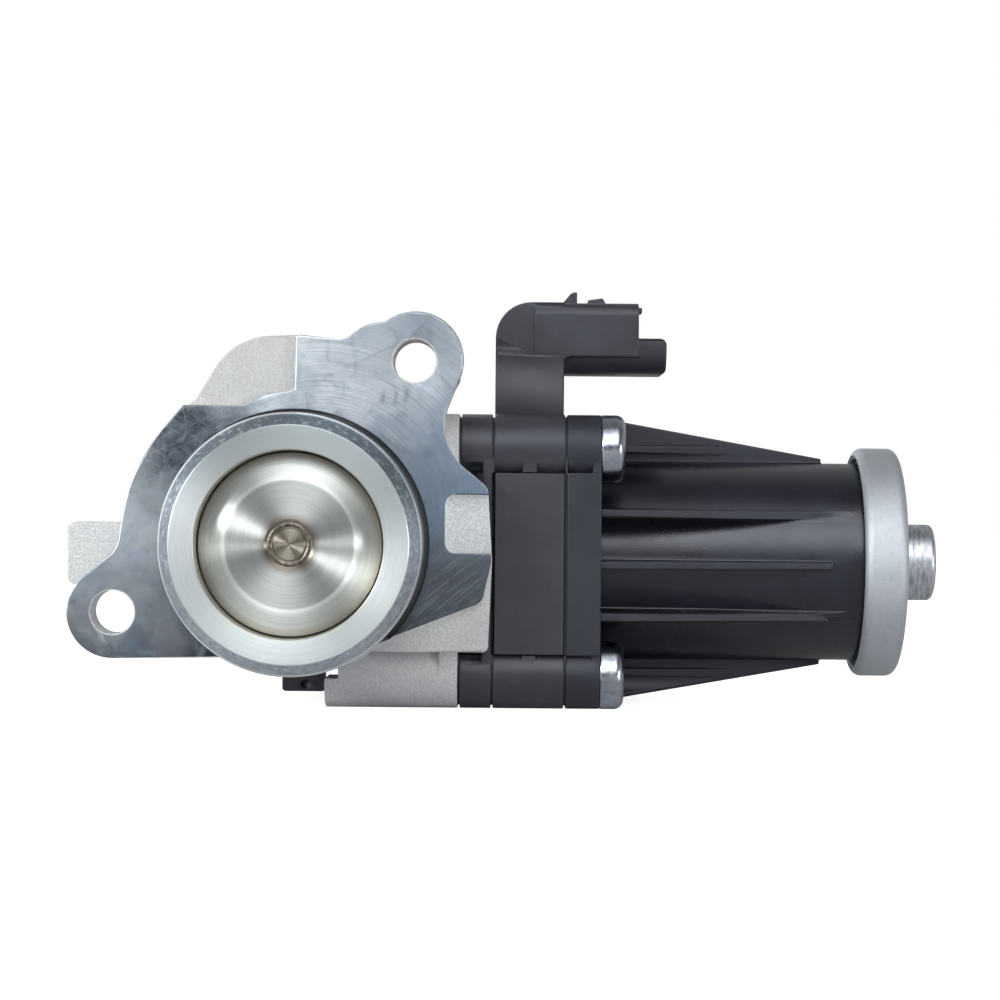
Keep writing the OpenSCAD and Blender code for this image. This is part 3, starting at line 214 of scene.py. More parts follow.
def eased_copy(node, name, ease):
    """A CAD piece's form as one closed mesh, with its sharp edges eased by about ease."""
    barred, fewest = [], math.inf
    for split in ("EAR_CLIP", "BEAUTY", "EAR_CLIP", "BEAUTY", "EAR_CLIP"):
        form, wrong = bevelled(node, ease, barred, split)
        if len(wrong) < fewest:
            best, fewest = form, len(wrong)
        if not wrong:
            break
        # An edge whose bevel folded over stays sharp at the next try
        barred += wrong
    mesh = bpy.data.meshes.new(name)
    best.to_mesh(mesh)
    piece = shown(mesh, name)
    level = piece.modifiers.new("Flat faces stay flat", "WEIGHTED_NORMAL")
    level.keep_sharp, level.weight = True, 100
    evaluated = piece.evaluated_get(bpy.context.evaluated_depsgraph_get())
    piece.data = bpy.data.meshes.new_from_object(evaluated)
    piece.modifiers.clear()
    return piece


def shown(mesh, name):
    """Links a mesh as a piece with smooth shading between its creases."""
    for face in mesh.polygons:
        face.use_smooth = True
    mesh.set_sharp_from_angle(angle=crease)
    piece = bpy.data.objects.new(name, mesh)
    bpy.context.scene.collection.objects.link(piece)
    return piece


def fit(piece, body, slot, *nodes):
    """Lets a piece ride on its body, in place of the CAD nodes that it stands for."""
    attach(piece, body)
    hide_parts(*nodes)


def dress(material, *nodes):
    """Gives CAD pieces whose form is right their finish."""
    for node in nodes:
        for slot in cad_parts[node].material_slots:
            slot.material = material


def cast_aluminium():
    """Grainy grey casting skin with stains and soot, painted light and shade in places, and painted
    shade in the moat.
    """
    material, tree, shader, where = finish("cast_aluminium", paint(205, 208, 210), 0.1, 0.7)
    sand = mottle(tree, where, 0.0005, detail=4.0, roughness=0.65)
    stains = mottle(tree, where, 0.014, detail=3.0)
    soot = mottle(tree, where, 0.0025, detail=5.0, roughness=0.65)
    colour = cover(tree, span(tree, stains, 0.35, 0.65), paint(196, 198, 200), paint(212, 215, 213))
    # Painted light makes the left side and the notch at the right lighter, and painted shade makes the
    # low boss and the top greyer
    colour = cover(tree, near(tree, where, (-0.037, 0.004, -0.001), 0.03), colour, paint(232, 235, 238))
    colour = cover(tree, near(tree, where, (0.015, 0.012, -0.03), 0.022), colour, paint(178, 178, 184))
    colour = cover(tree, near(tree, where, (-0.008, 0.004, 0.03), 0.02), colour, paint(190, 192, 193))
    colour = cover(tree, near(tree, where, (0.033, 0.002, 0.005), 0.014), colour, paint(236, 239, 242))
    colour = cover(tree, span(tree, sand, 0.6, 0.42, 0.0, 0.4), colour, paint(156, 156, 160))
    # Painted shade darkens the moat round the spigot
    distance, _, _ = around(tree, where, origin, y_axis)
    depth = put(tree, "SeparateXYZ", {0: where}).outputs[1]
    moat = span(tree, distance, moat_r + 0.0001, moat_r - 0.0001)
    moat = reckon(tree, "MULTIPLY", moat, span(tree, depth, moat_depth + 0.0001, moat_depth - 0.0001))
    colour = cover(tree, reckon(tree, "MULTIPLY", moat, 0.9), colour, paint(52, 54, 60))
    colour = cover(tree, span(tree, soot, 0.6, 0.78, 0.0, 0.2), colour, paint(156, 156, 156))
    tree.links.new(colour, shader["Base Color"])
    relief(tree, shader, sand, 0.00026)
    return material


def machined_aluminium():
    """Faced on a lathe about a point beside the poppet, then stained and scratched in use; light and
    shade are painted across the face.
    """
    material, tree, shader, where = finish("machined_aluminium", paint(176, 186, 194), 1.0, 0.4)
    distance, angle, _ = around(tree, where, (0.005, 0.0, 0.005), y_axis)
    cuts = streaks(tree, distance, angle, 0.00022, 0.6)
    wash = mottle(tree, where, 0.012, detail=3.0, distortion=0.4)
    tint = mottle(tree, where, 0.008, detail=4.0, distortion=0.8)
    stain = mottle(tree, where, 0.004, detail=5.0, roughness=0.65, distortion=1.2)
    # Painted light makes the top bright; painted shade makes the right bluish and darker and the lower
    # edge darkest
    uneven = reckon(tree, "SUBTRACT", wash, 0.5)
    across = put(tree, "VectorMath", {0: where, 1: (-0.2, 0.0, 1.0)}, operation="DOT_PRODUCT")
    across = reckon(tree, "ADD", across.outputs["Value"], reckon(tree, "MULTIPLY", uneven, 0.025))
    colour = cover(tree, span(tree, across, -0.021, 0.026), paint(52, 58, 67), paint(196, 204, 211))
    blue = span(tree, near(tree, where, (0.031, 0.0, 0.012), 0.024), 0.1, 0.7, 0.0, 0.75)
    colour = cover(tree, blue, colour, paint(104, 124, 146))
    # Blue, violet and pale green tints of the passivated face
    colour = cover(tree, span(tree, tint, 0.5, 0.66, 0.0, 0.45), colour, paint(112, 130, 150))
    colour = cover(tree, span(tree, tint, 0.42, 0.3, 0.0, 0.3), colour, paint(170, 184, 184))
    colour = cover(tree, span(tree, stain, 0.56, 0.72, 0.0, 0.35), colour, paint(138, 138, 158))
    colour = cover(tree, span(tree, stain, 0.42, 0.3, 0.0, 0.3), colour, paint(84, 96, 110))
    # A greyer upper lug, and arcs of the facing tool, seen most clearly in the upper right
    seen = near(tree, where, (0.016, 0.0, 0.03), 0.045)
    colour = cover(tree, near(tree, where, (0.027, 0.0, 0.045), 0.026), colour, paint(132, 142, 154))
    arcs = reckon(tree, "MULTIPLY", span(tree, cuts, 0.55, 0.4, 0.0, 0.42), seen)
    colour = cover(tree, arcs, colour, paint(96, 106, 118))
    # Diagonal marks of a file in the lower right, over a darker ground of painted shade
    file_marks_and_shade = span(tree, near(tree, where, (0.032, 0.0, -0.014), 0.024), 0.1, 0.6)
    colour = cover(tree, reckon(tree, "MULTIPLY", file_marks_and_shade, 0.8), colour, paint(78, 83, 89))
    marks = span(tree, drawn(tree, where, -40, 0.0005, 0.008), 0.5, 0.7)
    marks = reckon(tree, "MULTIPLY", reckon(tree, "MULTIPLY", marks, file_marks_and_shade), 0.45)
    colour = cover(tree, marks, colour, paint(140, 148, 154))
    # A sooty patch in the upper left with fine bright scratches through it
    patch = near(tree, where, (-0.021, 0.0, 0.019), 0.019)
    patch = reckon(tree, "ADD", patch, reckon(tree, "MULTIPLY", uneven, 0.8))
    patch = span(tree, patch, 0.1, 0.7, 0.0, 0.92)
    sooty = cover(tree, span(tree, stain, 0.38, 0.62), paint(38, 44, 56), paint(84, 94, 106))
    colour = cover(tree, patch, colour, sooty)
    for turn, length in ((-40, 0.009), (-25, 0.006), (28, 0.007), (80, 0.008)):
        scratch = span(tree, drawn(tree, where, turn, 0.00016, length), 0.6, 0.74)
        scratch = reckon(tree, "MULTIPLY", scratch, span(tree, patch, 0.1, 0.7, 0.1, 0.75))
        colour = cover(tree, scratch, colour, paint(176, 184, 192))
    tree.links.new(colour, shader["Base Color"])
    tree.links.new(span(tree, stain, 0.3, 0.7, 0.34, 0.46), shader["Roughness"])
    relief(tree, shader, cuts, 0.000006)
    return material


# The moat's radius and depth
moat_r, moat_depth = 0.0255, 0.0015
body_cast = eased_copy("valve_body", "valve_body_casting", 0.00025)
body_cast.data.materials.append(cast_aluminium())
body_cast.data.materials.append(machined_aluminium())
cover_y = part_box("valve_body")[1].y
layer_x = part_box("body_gasket")[0].x
# A face that is no further from a machined plane than this lies in it
skin = 0.0003
for face in body_cast.data.polygons:
    flange_face = face.normal.y < -0.9 and face.center.y < skin
    cover_face = face.normal.y > 0.9 and face.center.y > cover_y - skin
    layer_face = face.normal.x > 0.9 and abs(face.center.x - layer_x) < skin
    face.material_index = int(flange_face or cover_face or layer_face)
fit(body_cast, "housing", "cast_aluminium", "valve_body")

# Gas spigot with the valve's seat
# A ring turned from stainless steel and pressed into the casting, with a bevelled mouth.


def turned_steel(name, centre, axis, light, dark, rough, aniso, groove=0.00028):
    """Steel off the lathe: fine rings, and highlights that spread across them."""
    material, tree, shader, where = finish(name, light, 1.0, rough, Anisotropic=aniso)
    shader["Anisotropic Rotation"].default_value = 0.25
    distance, angle, cut = around(tree, where, centre, axis)
    rings = streaks(tree, distance, angle, groove, 2.5)
    wear = mottle(tree, where, 0.006, detail=4.0)
    colour = cover(tree, span(tree, rings, 0.4, 0.6, 0.4, 1.0), dark, light)
    colour = cover(tree, span(tree, wear, 0.5, 0.75, 0.0, 0.35), colour, dark)
    tree.links.new(cut, shader["Tangent"])
    return material, tree, shader, where, distance, colour


def spigot_steel():
    """A face with painted shade towards its top, a mottled bevel with painted shade on top and a
    painted highlight on its edge, the ring's side in painted shade, and a straw-coloured bore.
    """
    material, tree, shader, where, distance, colour = turned_steel(
        "spigot_steel", origin, y_axis, paint(204, 211, 212), paint(186, 194, 196), 0.42, 0.7)
    nicks = mottle(tree, where, 0.0012, detail=5.0, roughness=0.7)
    height = put(tree, "SeparateXYZ", {0: where}).outputs[2]
    # Painted shade greys the face towards its top
    colour = cover(tree, span(tree, height, 0.0, 0.02, 0.0, 0.9), colour, paint(142, 151, 154))
    bevel = span(tree, distance, bevel_r - 0.00005, bevel_r + 0.0001)
    # The bevel is painted with shade that darkens towards its top
    shade = cover(tree, span(tree, height, -0.01, 0.014), paint(164, 174, 183), paint(114, 126, 138))
    colour = cover(tree, reckon(tree, "MULTIPLY", bevel, 0.85), colour, shade)
    nick = reckon(tree, "MULTIPLY", bevel, span(tree, nicks, 0.52, 0.66, 0.0, 0.7))
    colour = cover(tree, nick, colour, paint(214, 222, 228))
    nick = reckon(tree, "MULTIPLY", bevel, span(tree, nicks, 0.45, 0.34, 0.0, 0.6))
    colour = cover(tree, nick, colour, paint(108, 118, 132))
    # A painted highlight runs along the bevel's outer edge, and painted shade darkens the ring's outer
    # side
    edge = span(tree, distance, spigot_r - 0.0005, spigot_r - 0.0003)
    side = span(tree, distance, spigot_r - 0.0001, spigot_r - 0.00004)
    bore = span(tree, distance, mouth_r + 0.0004, mouth_r)
    colour = cover(tree, edge, colour, paint(228, 234, 236))
    colour = cover(tree, side, colour, paint(116, 122, 130))
    colour = cover(tree, bore, colour, paint(176, 173, 162))
    tree.links.new(colour, shader["Base Color"])
    return material


# Radii of the ring, of its bevel's inner edge and of its bore
spigot_r, mouth_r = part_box("seat_tube")[1].x, 0.0174
bevel_r = spigot_r - 0.0024
spigot = eased_copy("seat_tube", "gas_spigot", 0.0002)
spigot.data.materials.append(spigot_steel())
fit(spigot, "housing", "spigot_steel", "seat_tube")

# Stem guide, seal and deposit shield
# A sintered bronze bush carries the stem, a lipped ring keeps gas out of the cam's case, and a
# pressed cup keeps soot off both.


def two_tone(name, colour, metallic, roughness, size, dark, light, detail=4.0):
    """A finish whose colour drifts between two tones, in lumps about size metres wide."""
    material, tree, shader, where = finish(name, colour, metallic, roughness)
    lumps = mottle(tree, where, size, detail=detail)
    tree.links.new(cover(tree, lumps, dark, light), shader["Base Color"])
    return material, tree, shader, where, lumps


def sintered_bronze():
    """Bronze powder pressed together, with dark pores."""
    material, tree, shader, where = finish("sintered_bronze", paint(176, 140, 84), 1.0, 0.48)
    pores = mottle(tree, where, 0.0004, detail=4.0, roughness=0.7)
    tree.links.new(cover(tree, span(tree, pores, 0.4, 0.55), paint(92, 66, 36), paint(188, 150, 92)),
                   shader["Base Color"])
    relief(tree, shader, pores, 0.00004)
    return material


seal_plastic, *_ = two_tone("seal_plastic", paint(226, 220, 206), 0.0, 0.5, 0.002,
                            paint(214, 206, 188), paint(232, 228, 216), detail=3.0)
pressed_sheet, *_ = two_tone("pressed_sheet", paint(168, 164, 156), 1.0, 0.4, 0.004,
                             paint(120, 104, 84), paint(184, 184, 182))
dress(sintered_bronze(), "stem_guide", "motor_bushes")
dress(seal_plastic, "stem_seal")
dress(pressed_sheet, "deposit_shield")

# Poppet, stem and roller
# The head is turned, pushed on the ground stem and welded round the stem's end, which leaves a
# brown ring. A pin through the far end of the stem carries the roller.


def poppet_steel():
    """Turned head with a duller disc ringed by a painted highlight, heat rings round its weld and straw
    tints.
    """
    material, tree, shader, where, distance, colour = turned_steel(
        "poppet_steel", origin, y_axis, paint(208, 213, 211), paint(184, 189, 187), 0.4, 1.0, 0.0004)
    scorch = mottle(tree, where, 0.0015, detail=3.0)
    # The faced disc is duller than the crown round it, with a painted highlight ring between them
    disc_r = 0.01185
    disc = span(tree, distance, disc_r + 0.00025, disc_r, 0.0, 0.42)
    colour = cover(tree, disc, colour, paint(112, 116, 118))
    ring_highlight = reckon(tree, "ABSOLUTE", reckon(tree, "SUBTRACT", distance, disc_r + 0.00045))
    colour = cover(tree, span(tree, ring_highlight, 0.0007, 0.0, 0.0, 0.6), colour, paint(236, 240, 238))
    # The weld's heat has left straw and brown rings round the stem
    heat = reckon(tree, "ADD", distance, reckon(tree, "MULTIPLY", scorch, 0.0006))
    heat = span(tree, heat, 0.0062, 0.0049)
    colour = cover(tree, reckon(tree, "MULTIPLY", heat, 0.8), colour, paint(118, 106, 92))
    colour = cover(tree, span(tree, distance, 0.0043, 0.0037, 0.0, 0.5), colour, paint(140, 138, 126))
    # Straw and olive tints towards the seat
    colour = cover(tree, span(tree, distance, 0.0155, 0.017, 0.0, 0.5), colour, paint(132, 127, 108))
    tree.links.new(colour, shader["Base Color"])
    return material


def weld_steel():
    """Brown scales that follow the bead round."""
    material, tree, shader, where = finish("weld_steel", paint(100, 94, 88), 1.0, 0.36)
    distance, angle, _ = around(tree, where, origin, y_axis)
    scales = streaks(tree, distance, angle, 0.002, 0.22)
    tree.links.new(cover(tree, span(tree, scales, 0.35, 0.65), paint(60, 57, 56), paint(128, 121, 112)),
                   shader["Base Color"])
    relief(tree, shader, scales, 0.00008)
    return material


poppet_finish = poppet_steel()
poppet = eased_copy("poppet", "poppet_head", 0.00015)
poppet.data.materials.append(poppet_finish)
fit(poppet, "stem", "poppet_steel", "poppet")
stem = eased_copy("valve_stem", "ground_stem", 0.00015)
stem.data.materials.append(poppet_finish)
fit(stem, "stem", "poppet_steel", "valve_stem")


def forming_tree(name, result, inputs):
    """An empty geometry node tree with the sockets it takes and the one that gives its result."""
    tree = bpy.data.node_groups.new(name, "GeometryNodeTree")
    for socket, kind in inputs.items():
        tree.interface.new_socket(socket, in_out="INPUT", socket_type="NodeSocket" + kind)
    tree.interface.new_socket(result, in_out="OUTPUT", socket_type="NodeSocketGeometry")
    return tree


def lathe():
    """Node tree that turns an outline of (radius, along) points into a closed form about Z."""
    tree = forming_tree("Lathe", "Turned form", {
        "Outline": "Geometry", "Points": "Int", "Steps round": "Int", "Finish": "Material"})
    given = add(tree, "NodeGroupInput").outputs
    rows = reckon(tree, "ADD", given["Steps round"], 1)
    grid = add(tree, "GeometryNodeMeshGrid", {"Vertices X": given["Points"], "Vertices Y": rows})
    index = add(tree, "GeometryNodeInputIndex").outputs[0]
    outline_index = reckon(tree, "FLOOR", reckon(tree, "DIVIDE", index, rows))
    turn = reckon(tree, "DIVIDE", reckon(tree, "MODULO", index, rows), given["Steps round"])
    angle = reckon(tree, "MULTIPLY", turn, 2 * math.pi)
    outline_spot = add(tree, "GeometryNodeInputPosition").outputs[0]
    spot = add(tree, "GeometryNodeSampleIndex", {
        "Geometry": given["Outline"], "Value": outline_spot, "Index": outline_index},
        data_type="FLOAT_VECTOR", domain="POINT").outputs[0]
    parts = put(tree, "SeparateXYZ", {0: spot}).outputs
    place = put(tree, "CombineXYZ", {
        0: reckon(tree, "MULTIPLY", parts[0], reckon(tree, "COSINE", angle)),
        1: reckon(tree, "MULTIPLY", parts[0], reckon(tree, "SINE", angle)), 2: parts[1]}).outputs[0]
    form = grid.outputs["Mesh"]
    for kind, plugs in (("SetPosition", {"Position": place}), ("MergeByDistance", {"Distance": 1e-6}),
                        ("RealizeInstances", {}), ("SetMaterial", {"Material": given["Finish"]})):
        form = add(tree, "GeometryNode" + kind, {"Geometry": form, **plugs}).outputs[0]
    add(tree, "NodeGroupOutput", {"Turned form": form})
    return tree


def made_by(tree, piece, values):
    """Runs a node tree on a piece with values for its named inputs; gives the plain mesh."""
    modifier = piece.modifiers.new(tree.name, "NODES")
    modifier.node_group = tree
    for item in tree.interface.items_tree:
        if item.name in values:
            modifier[item.identifier] = values[item.name]
    evaluated = piece.evaluated_get(bpy.context.evaluated_depsgraph_get())
    mesh = bpy.data.meshes.new_from_object(evaluated)
    bpy.data.objects.remove(piece)
    return mesh


def turned(name, outline, material, place, steps=96):
    """A piece turned from an outline of (radius, along) points, set in place by a matrix."""
    points = [*outline, outline[0]]
    chain = bpy.data.meshes.new(name)
    chain.from_pydata([(r, along, 0) for r, along in points], [], [])
    holder = bpy.data.objects.new(name, chain)
    bpy.context.scene.collection.objects.link(holder)
    values = {"Points": len(points), "Steps round": steps, "Finish": material}
    mesh = made_by(lathe_tree, holder, values)
    form = bmesh.new()
    form.from_mesh(mesh)
    bmesh.ops.dissolve_degenerate(form, dist=1e-7, edges=form.edges)
    bmesh.ops.recalc_face_normals(form, faces=form.faces)
    form.to_mesh(mesh)
    form.free()
    mesh.transform(place)
    return shown(mesh, name)


lathe_tree = lathe()
along_stem = Matrix.Rotation(math.radians(90), 4, "X")
poppet_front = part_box("poppet")[0].y
stem_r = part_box("valve_stem")[1].x
# A bead slightly flatter than round, whose middle lies outside the stem and behind the head's
# front; the lathe's axis points at the camera
bead_r, bead_out, bead_back, bead_flat = 0.00062, 0.00072, 0.00075, 0.8
bead_steps = 14
bead = [(stem_r + bead_out + bead_r * math.cos(2 * math.pi * k / bead_steps),
         -poppet_front - bead_back + bead_flat * bead_r * math.sin(2 * math.pi * k / bead_steps))
        for k in range(bead_steps)]
weld = turned("weld_bead", bead, weld_steel(), along_stem)
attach(weld, "stem")


def ground_steel():
    """Smooth steel whose shine changes with its film of oil."""
    material, tree, shader, _, oil = two_tone(
        "ground_steel", paint(196, 198, 200), 1.0, 0.24, 0.003, paint(150, 150, 152),
        paint(206, 208, 210), detail=3.0)
    tree.links.new(span(tree, oil, 0.3, 0.7, 0.18, 0.34), shader["Roughness"])
    return material


def machined_steel():
    """Greasy steel with fine tool marks."""
    material, tree, shader, where, _ = two_tone(
        "machined_steel", paint(150, 150, 150), 1.0, 0.38, 0.004, paint(116, 114, 110),
        paint(168, 168, 168))
    relief(tree, shader, mottle(tree, where, 0.0005), 0.00001)
    return material


polished, machined = ground_steel(), machined_steel()
dress(polished, "roller_pin", "cam_roller")

# Output shaft, cam, bearings and return spring
# The shaft runs in two ball bearings. The spring is wound from round wire; one end sits in the
# hub on the shaft and the other in the bearing plate.
dress(polished, "bearing_outer_rings", "bearing_inner_rings", "bearing_balls")
dress(machined, "output_shaft", "drive_cam", "spring_hub")


def seal_rubber():
    """Dull black rubber with a pale bloom and a fine grain."""
    material, tree, shader, where, _ = two_tone(
        "seal_rubber", paint(30, 30, 32), 0.0, 0.6, 0.003, paint(22, 22, 24), paint(44, 44, 46))
    relief(tree, shader, mottle(tree, where, 0.0004), 0.00002)
    return material


rubber = seal_rubber()
wire, *_ = two_tone("spring_wire", paint(130, 130, 134), 1.0, 0.3, 0.0015,
                    paint(84, 82, 84), paint(150, 150, 154))
dress(rubber, "shaft_seal", "rubber_ring")
dress(rubber, "body_gasket", "plate_gasket", "cover_gasket", "housing_gasket")
dress(wire, "return_spring", "brush_springs")

# Rear cover and its screws
# Moulded in black plastic filled with glass, with three stiffening ribs, on a sheet gasket.


def moulded_plastic(name, colour, rough, shine=0.45):
    """Black plastic filled with glass: a faint cloudy skin with the fine grain of its mould."""
    material, tree, shader, where = finish(
        name, colour, 0.0, rough, Specular_IOR_Level=shine, Specular_Tint=(0.88, 0.92, 1.0, 1.0))
    cloud = mottle(tree, where, 0.01, detail=5.0, roughness=0.6)
    fine = mottle(tree, where, 0.00045, detail=3.0, roughness=0.6)
    pale = tuple(min(1, c * 1.35 + 0.002) for c in colour[:3]) + (1,)
    deep = tuple(c * 0.8 for c in colour[:3]) + (1,)
    shade = cover(tree, span(tree, cloud, 0.3, 0.7), deep, pale)
    shade = cover(tree, span(tree, fine, 0.3, 0.75, 0.0, 0.35), shade, pale)
    tree.links.new(shade, shader["Base Color"])
    tree.links.new(span(tree, cloud, 0.3, 0.7, rough - 0.06, rough + 0.06), shader["Roughness"])
    relief(tree, shader, fine, 0.00002)
    return material


def black_part(node, name, material, ease=0.0002):
    """An eased piece of the black case, in its own plastic."""
    piece = eased_copy(node, name, ease)
    piece.data.materials.append(material)
    fit(piece, "housing", "black_plastic", node)
    return piece


case_plastic = moulded_plastic("case_plastic", paint(42, 43, 49), 0.42)
black_part("rear_cover", "moulded_rear_cover", case_plastic)


def zinc_plate():
    """Bright zinc with a dull bloom and small pits."""
    material, tree, shader, where = finish("zinc_plate", paint(208, 214, 224), 1.0, 0.2)
    bloom = mottle(tree, where, 0.0016, detail=5.0, roughness=0.65)
    pits = mottle(tree, where, 0.0005, detail=3.0)
    colour = cover(tree, span(tree, bloom, 0.35, 0.7), paint(138, 145, 157), paint(168, 174, 183))
    colour = cover(tree, span(tree, pits, 0.66, 0.74, 0.0, 0.6), colour, paint(120, 124, 134))
    tree.links.new(colour, shader["Base Color"])
    tree.links.new(span(tree, bloom, 0.3, 0.7, 0.14, 0.3), shader["Roughness"])
    relief(tree, shader, bloom, 0.00004)
    return material


def screw_set():
    """Node tree that puts one screw on each point and turns each by a different angle."""
    tree = forming_tree("Screw set", "Screws", {
        "Seats": "Geometry", "Screw": "Object", "Axis": "Vector", "Seed": "Int", "Finish": "Material"})
    given = add(tree, "NodeGroupInput").outputs
    screw = add(tree, "GeometryNodeObjectInfo", {"Object": given["Screw"]}).outputs["Geometry"]
    chance = add(tree, "FunctionNodeRandomValue", {"Seed": given["Seed"]}, data_type="FLOAT")
    lowest, highest = [socket for socket in chance.inputs if socket.type == "VALUE"][:2]
    lowest.default_value, highest.default_value = 0.0, 2 * math.pi
    angle = next(socket for socket in chance.outputs if socket.type == "VALUE")
    turn = add(tree, "FunctionNodeAxisAngleToRotation", {"Axis": given["Axis"], "Angle": angle})
    form = add(tree, "GeometryNodeInstanceOnPoints", {
        "Points": given["Seats"], "Instance": screw, "Rotation": turn.outputs["Rotation"]}).outputs[0]
    form = add(tree, "GeometryNodeRealizeInstances", {"Geometry": form}).outputs[0]
    form = add(tree, "GeometryNodeSetMaterial", {"Geometry": form, "Material": given["Finish"]})
    add(tree, "NodeGroupOutput", {"Screws": form.outputs[0]})
    return tree


def solids_of(node):
    """The separate solids of a CAD node, each as a list of its corners."""
    form = bmesh.new()
    form.from_mesh(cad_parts[node].data)
    bmesh.ops.remove_doubles(form, verts=form.verts, dist=same_spot)
    found, solids = set(), []
    for start in form.verts:
        if start in found:
            continue
        found.add(start)
        corners, rim = [], [start]
        while rim:
            vert = rim.pop()
            corners.append(vert.co.copy())
            fresh = {e.other_vert(vert) for e in vert.link_edges} - found
            found |= fresh
            rim += fresh
        solids.append(corners)
    form.free()
    return solids


def screws(node, name, ease, axis, seed, material):
    """The screws of a CAD node: one of them is eased and then set on each seat."""
    seats = []
    for corners in solids_of(node):
        low = Vector(min(c[i] for c in corners) for i in range(3))
        high = Vector(max(c[i] for c in corners) for i in range(3))
        seats.append((low + high) / 2)
    one = eased_copy(node, name + "_one", ease)
    form = bmesh.new()
    form.from_mesh(one.data)
    others = [v for v in form.verts if min(seats, key=lambda s: (s - v.co).length) is not seats[0]]
    bmesh.ops.delete(form, geom=others, context="VERTS")
    bmesh.ops.translate(form, vec=-seats[0], verts=form.verts)
    form.to_mesh(one.data)
    form.free()
    holder_mesh = bpy.data.meshes.new(name)
    holder_mesh.from_pydata(seats, [], [])
    holder = bpy.data.objects.new(name, holder_mesh)
    bpy.context.scene.collection.objects.link(holder)
    mesh = made_by(screw_tree, holder, {"Screw": one, "Axis": axis, "Seed": seed, "Finish": material})
    bpy.data.objects.remove(one)
    piece = shown(mesh, name)
    fit(piece, "housing", "zinc_steel", node)


zinc = zinc_plate()
screw_tree = screw_set()
screws("cover_screws", "rear_cover_screws", 0.00015, y_axis, 3, zinc)

# Bearing plate
# The layer between the casting and the gears, moulded in the same black plastic.
black_part("bearing_plate", "moulded_bearing_plate", case_plastic)

# Planetary gear
# Steel ring, sun and carrier with three plastic planets on hardened pins. A magnet on the
# carrier's rim tells the sensor where the shaft stands.


def ferrite():
    """Grey sintered magnet with its grain."""
    material, tree, shader, _, crystals = two_tone(
        "ferrite", paint(60, 60, 62), 0.3, 0.55, 0.0006, paint(44, 44, 46), paint(82, 82, 84),
        detail=5.0)
    relief(tree, shader, crystals, 0.00003)
    return material


magnet = ferrite()
gear_plastic, *_ = two_tone("gear_plastic", paint(232, 224, 200), 0.0, 0.38, 0.003,
                            paint(222, 212, 184), paint(238, 232, 212), detail=3.0)
dress(machined, "ring_gear", "sun_pinion", "planet_carrier")
dress(polished, "planet_pins")
dress(gear_plastic, "planet_gear_1", "planet_gear_2", "planet_gear_3")
dress(magnet, "position_magnet", "motor_magnets")

# Gear housing with the plug socket
# One moulding: the layer round the gears, an elbow on top and the socket with its blades. A flat
# cover on the front closes the sensor's pocket.


def board():
    """Green circuit board with lighter copper tracks under its lacquer."""
    material, tree, shader, where = finish("circuit_board", paint(28, 84, 50), 0.0, 0.35)
    tracks = put(tree, "TexBrick", {"Vector": where, "Scale": 400.0})
    tree.links.new(cover(tree, tracks.outputs["Fac"], paint(24, 78, 46), paint(42, 108, 66)),
                   shader["Base Color"])
    return material


tinned_brass, *_ = two_tone("tinned_brass", paint(214, 206, 178), 1.0, 0.28, 0.002,
                            paint(190, 176, 134), paint(222, 220, 208))
black_part("gear_housing", "moulded_gear_housing", case_plastic)
cover_plastic = moulded_plastic("cover_plastic", paint(42, 43, 48), 0.5)
black_part("sensor_cover", "moulded_sensor_cover", cover_plastic)
dress(board(), "sensor_board")
dress(tinned_brass, "connector_blades")

# Motor
# Armature with eight wound poles, commutator and spring-loaded brushes, between two magnets in a
# deep-drawn steel can. Only the can's bearing cup shows, scuffed from handling.


def waves(tree, where, scale, distortion):
    """Bands across X, for wound wire and stacked sheets."""
    plugs = {"Vector": where, "Scale": scale, "Distortion": distortion}
    return put(tree, "TexWave", plugs, bands_direction="X").outputs["Fac"]


def copper():
    """Enamelled wire, turn beside turn."""
    material, tree, shader, where = finish("copper", paint(196, 118, 72), 1.0, 0.34)
    turns = waves(tree, where, 700.0, 1.5)
    tree.links.new(cover(tree, turns, paint(122, 62, 34), paint(206, 128, 80)), shader["Base Color"])
    relief(tree, shader, turns, 0.0001)
    return material


def laminated_steel():
    """Stacked sheets seen from the side."""
    material, tree, shader, where = finish("laminated_steel", paint(112, 114, 118), 1.0, 0.44)
    sheets = waves(tree, where, 320.0, 0.0)
    tree.links.new(cover(tree, sheets, paint(84, 86, 90), paint(132, 134, 138)), shader["Base Color"])
    relief(tree, shader, sheets, 0.00005)
    return material


def brush_carbon():
    """Pressed carbon with flecks of copper."""
    material, tree, shader, where = finish("brush_carbon", paint(40, 38, 38), 0.2, 0.5)
    flecks = mottle(tree, where, 0.0004, detail=4.0)
    tree.links.new(cover(tree, span(tree, flecks, 0.6, 0.7), paint(36, 36, 38), paint(120, 84, 60)),
                   shader["Base Color"])
    return material


def can_steel():
    """Drawn steel, scuffed round its axis."""
    material, tree, shader, where, distance, colour = turned_steel(
        "can_steel", motor_axis, x_axis, paint(196, 200, 206), paint(166, 171, 178), 0.4, 0.35, 0.0004)
    along = put(tree, "SeparateXYZ", {0: where}).outputs[0]
    _, angle, _ = around(tree, where, motor_axis, x_axis)
    scuff = streaks(tree, reckon(tree, "ADD", distance, along), angle, 0.0005, 0.5)
    colour = cover(tree, span(tree, scuff, 0.44, 0.68, 0.0, 0.75), colour, paint(96, 100, 108))
    tree.links.new(colour, shader["Base Color"])
    tree.links.new(span(tree, scuff, 0.35, 0.65, 0.34, 0.52), shader["Roughness"])
    return material


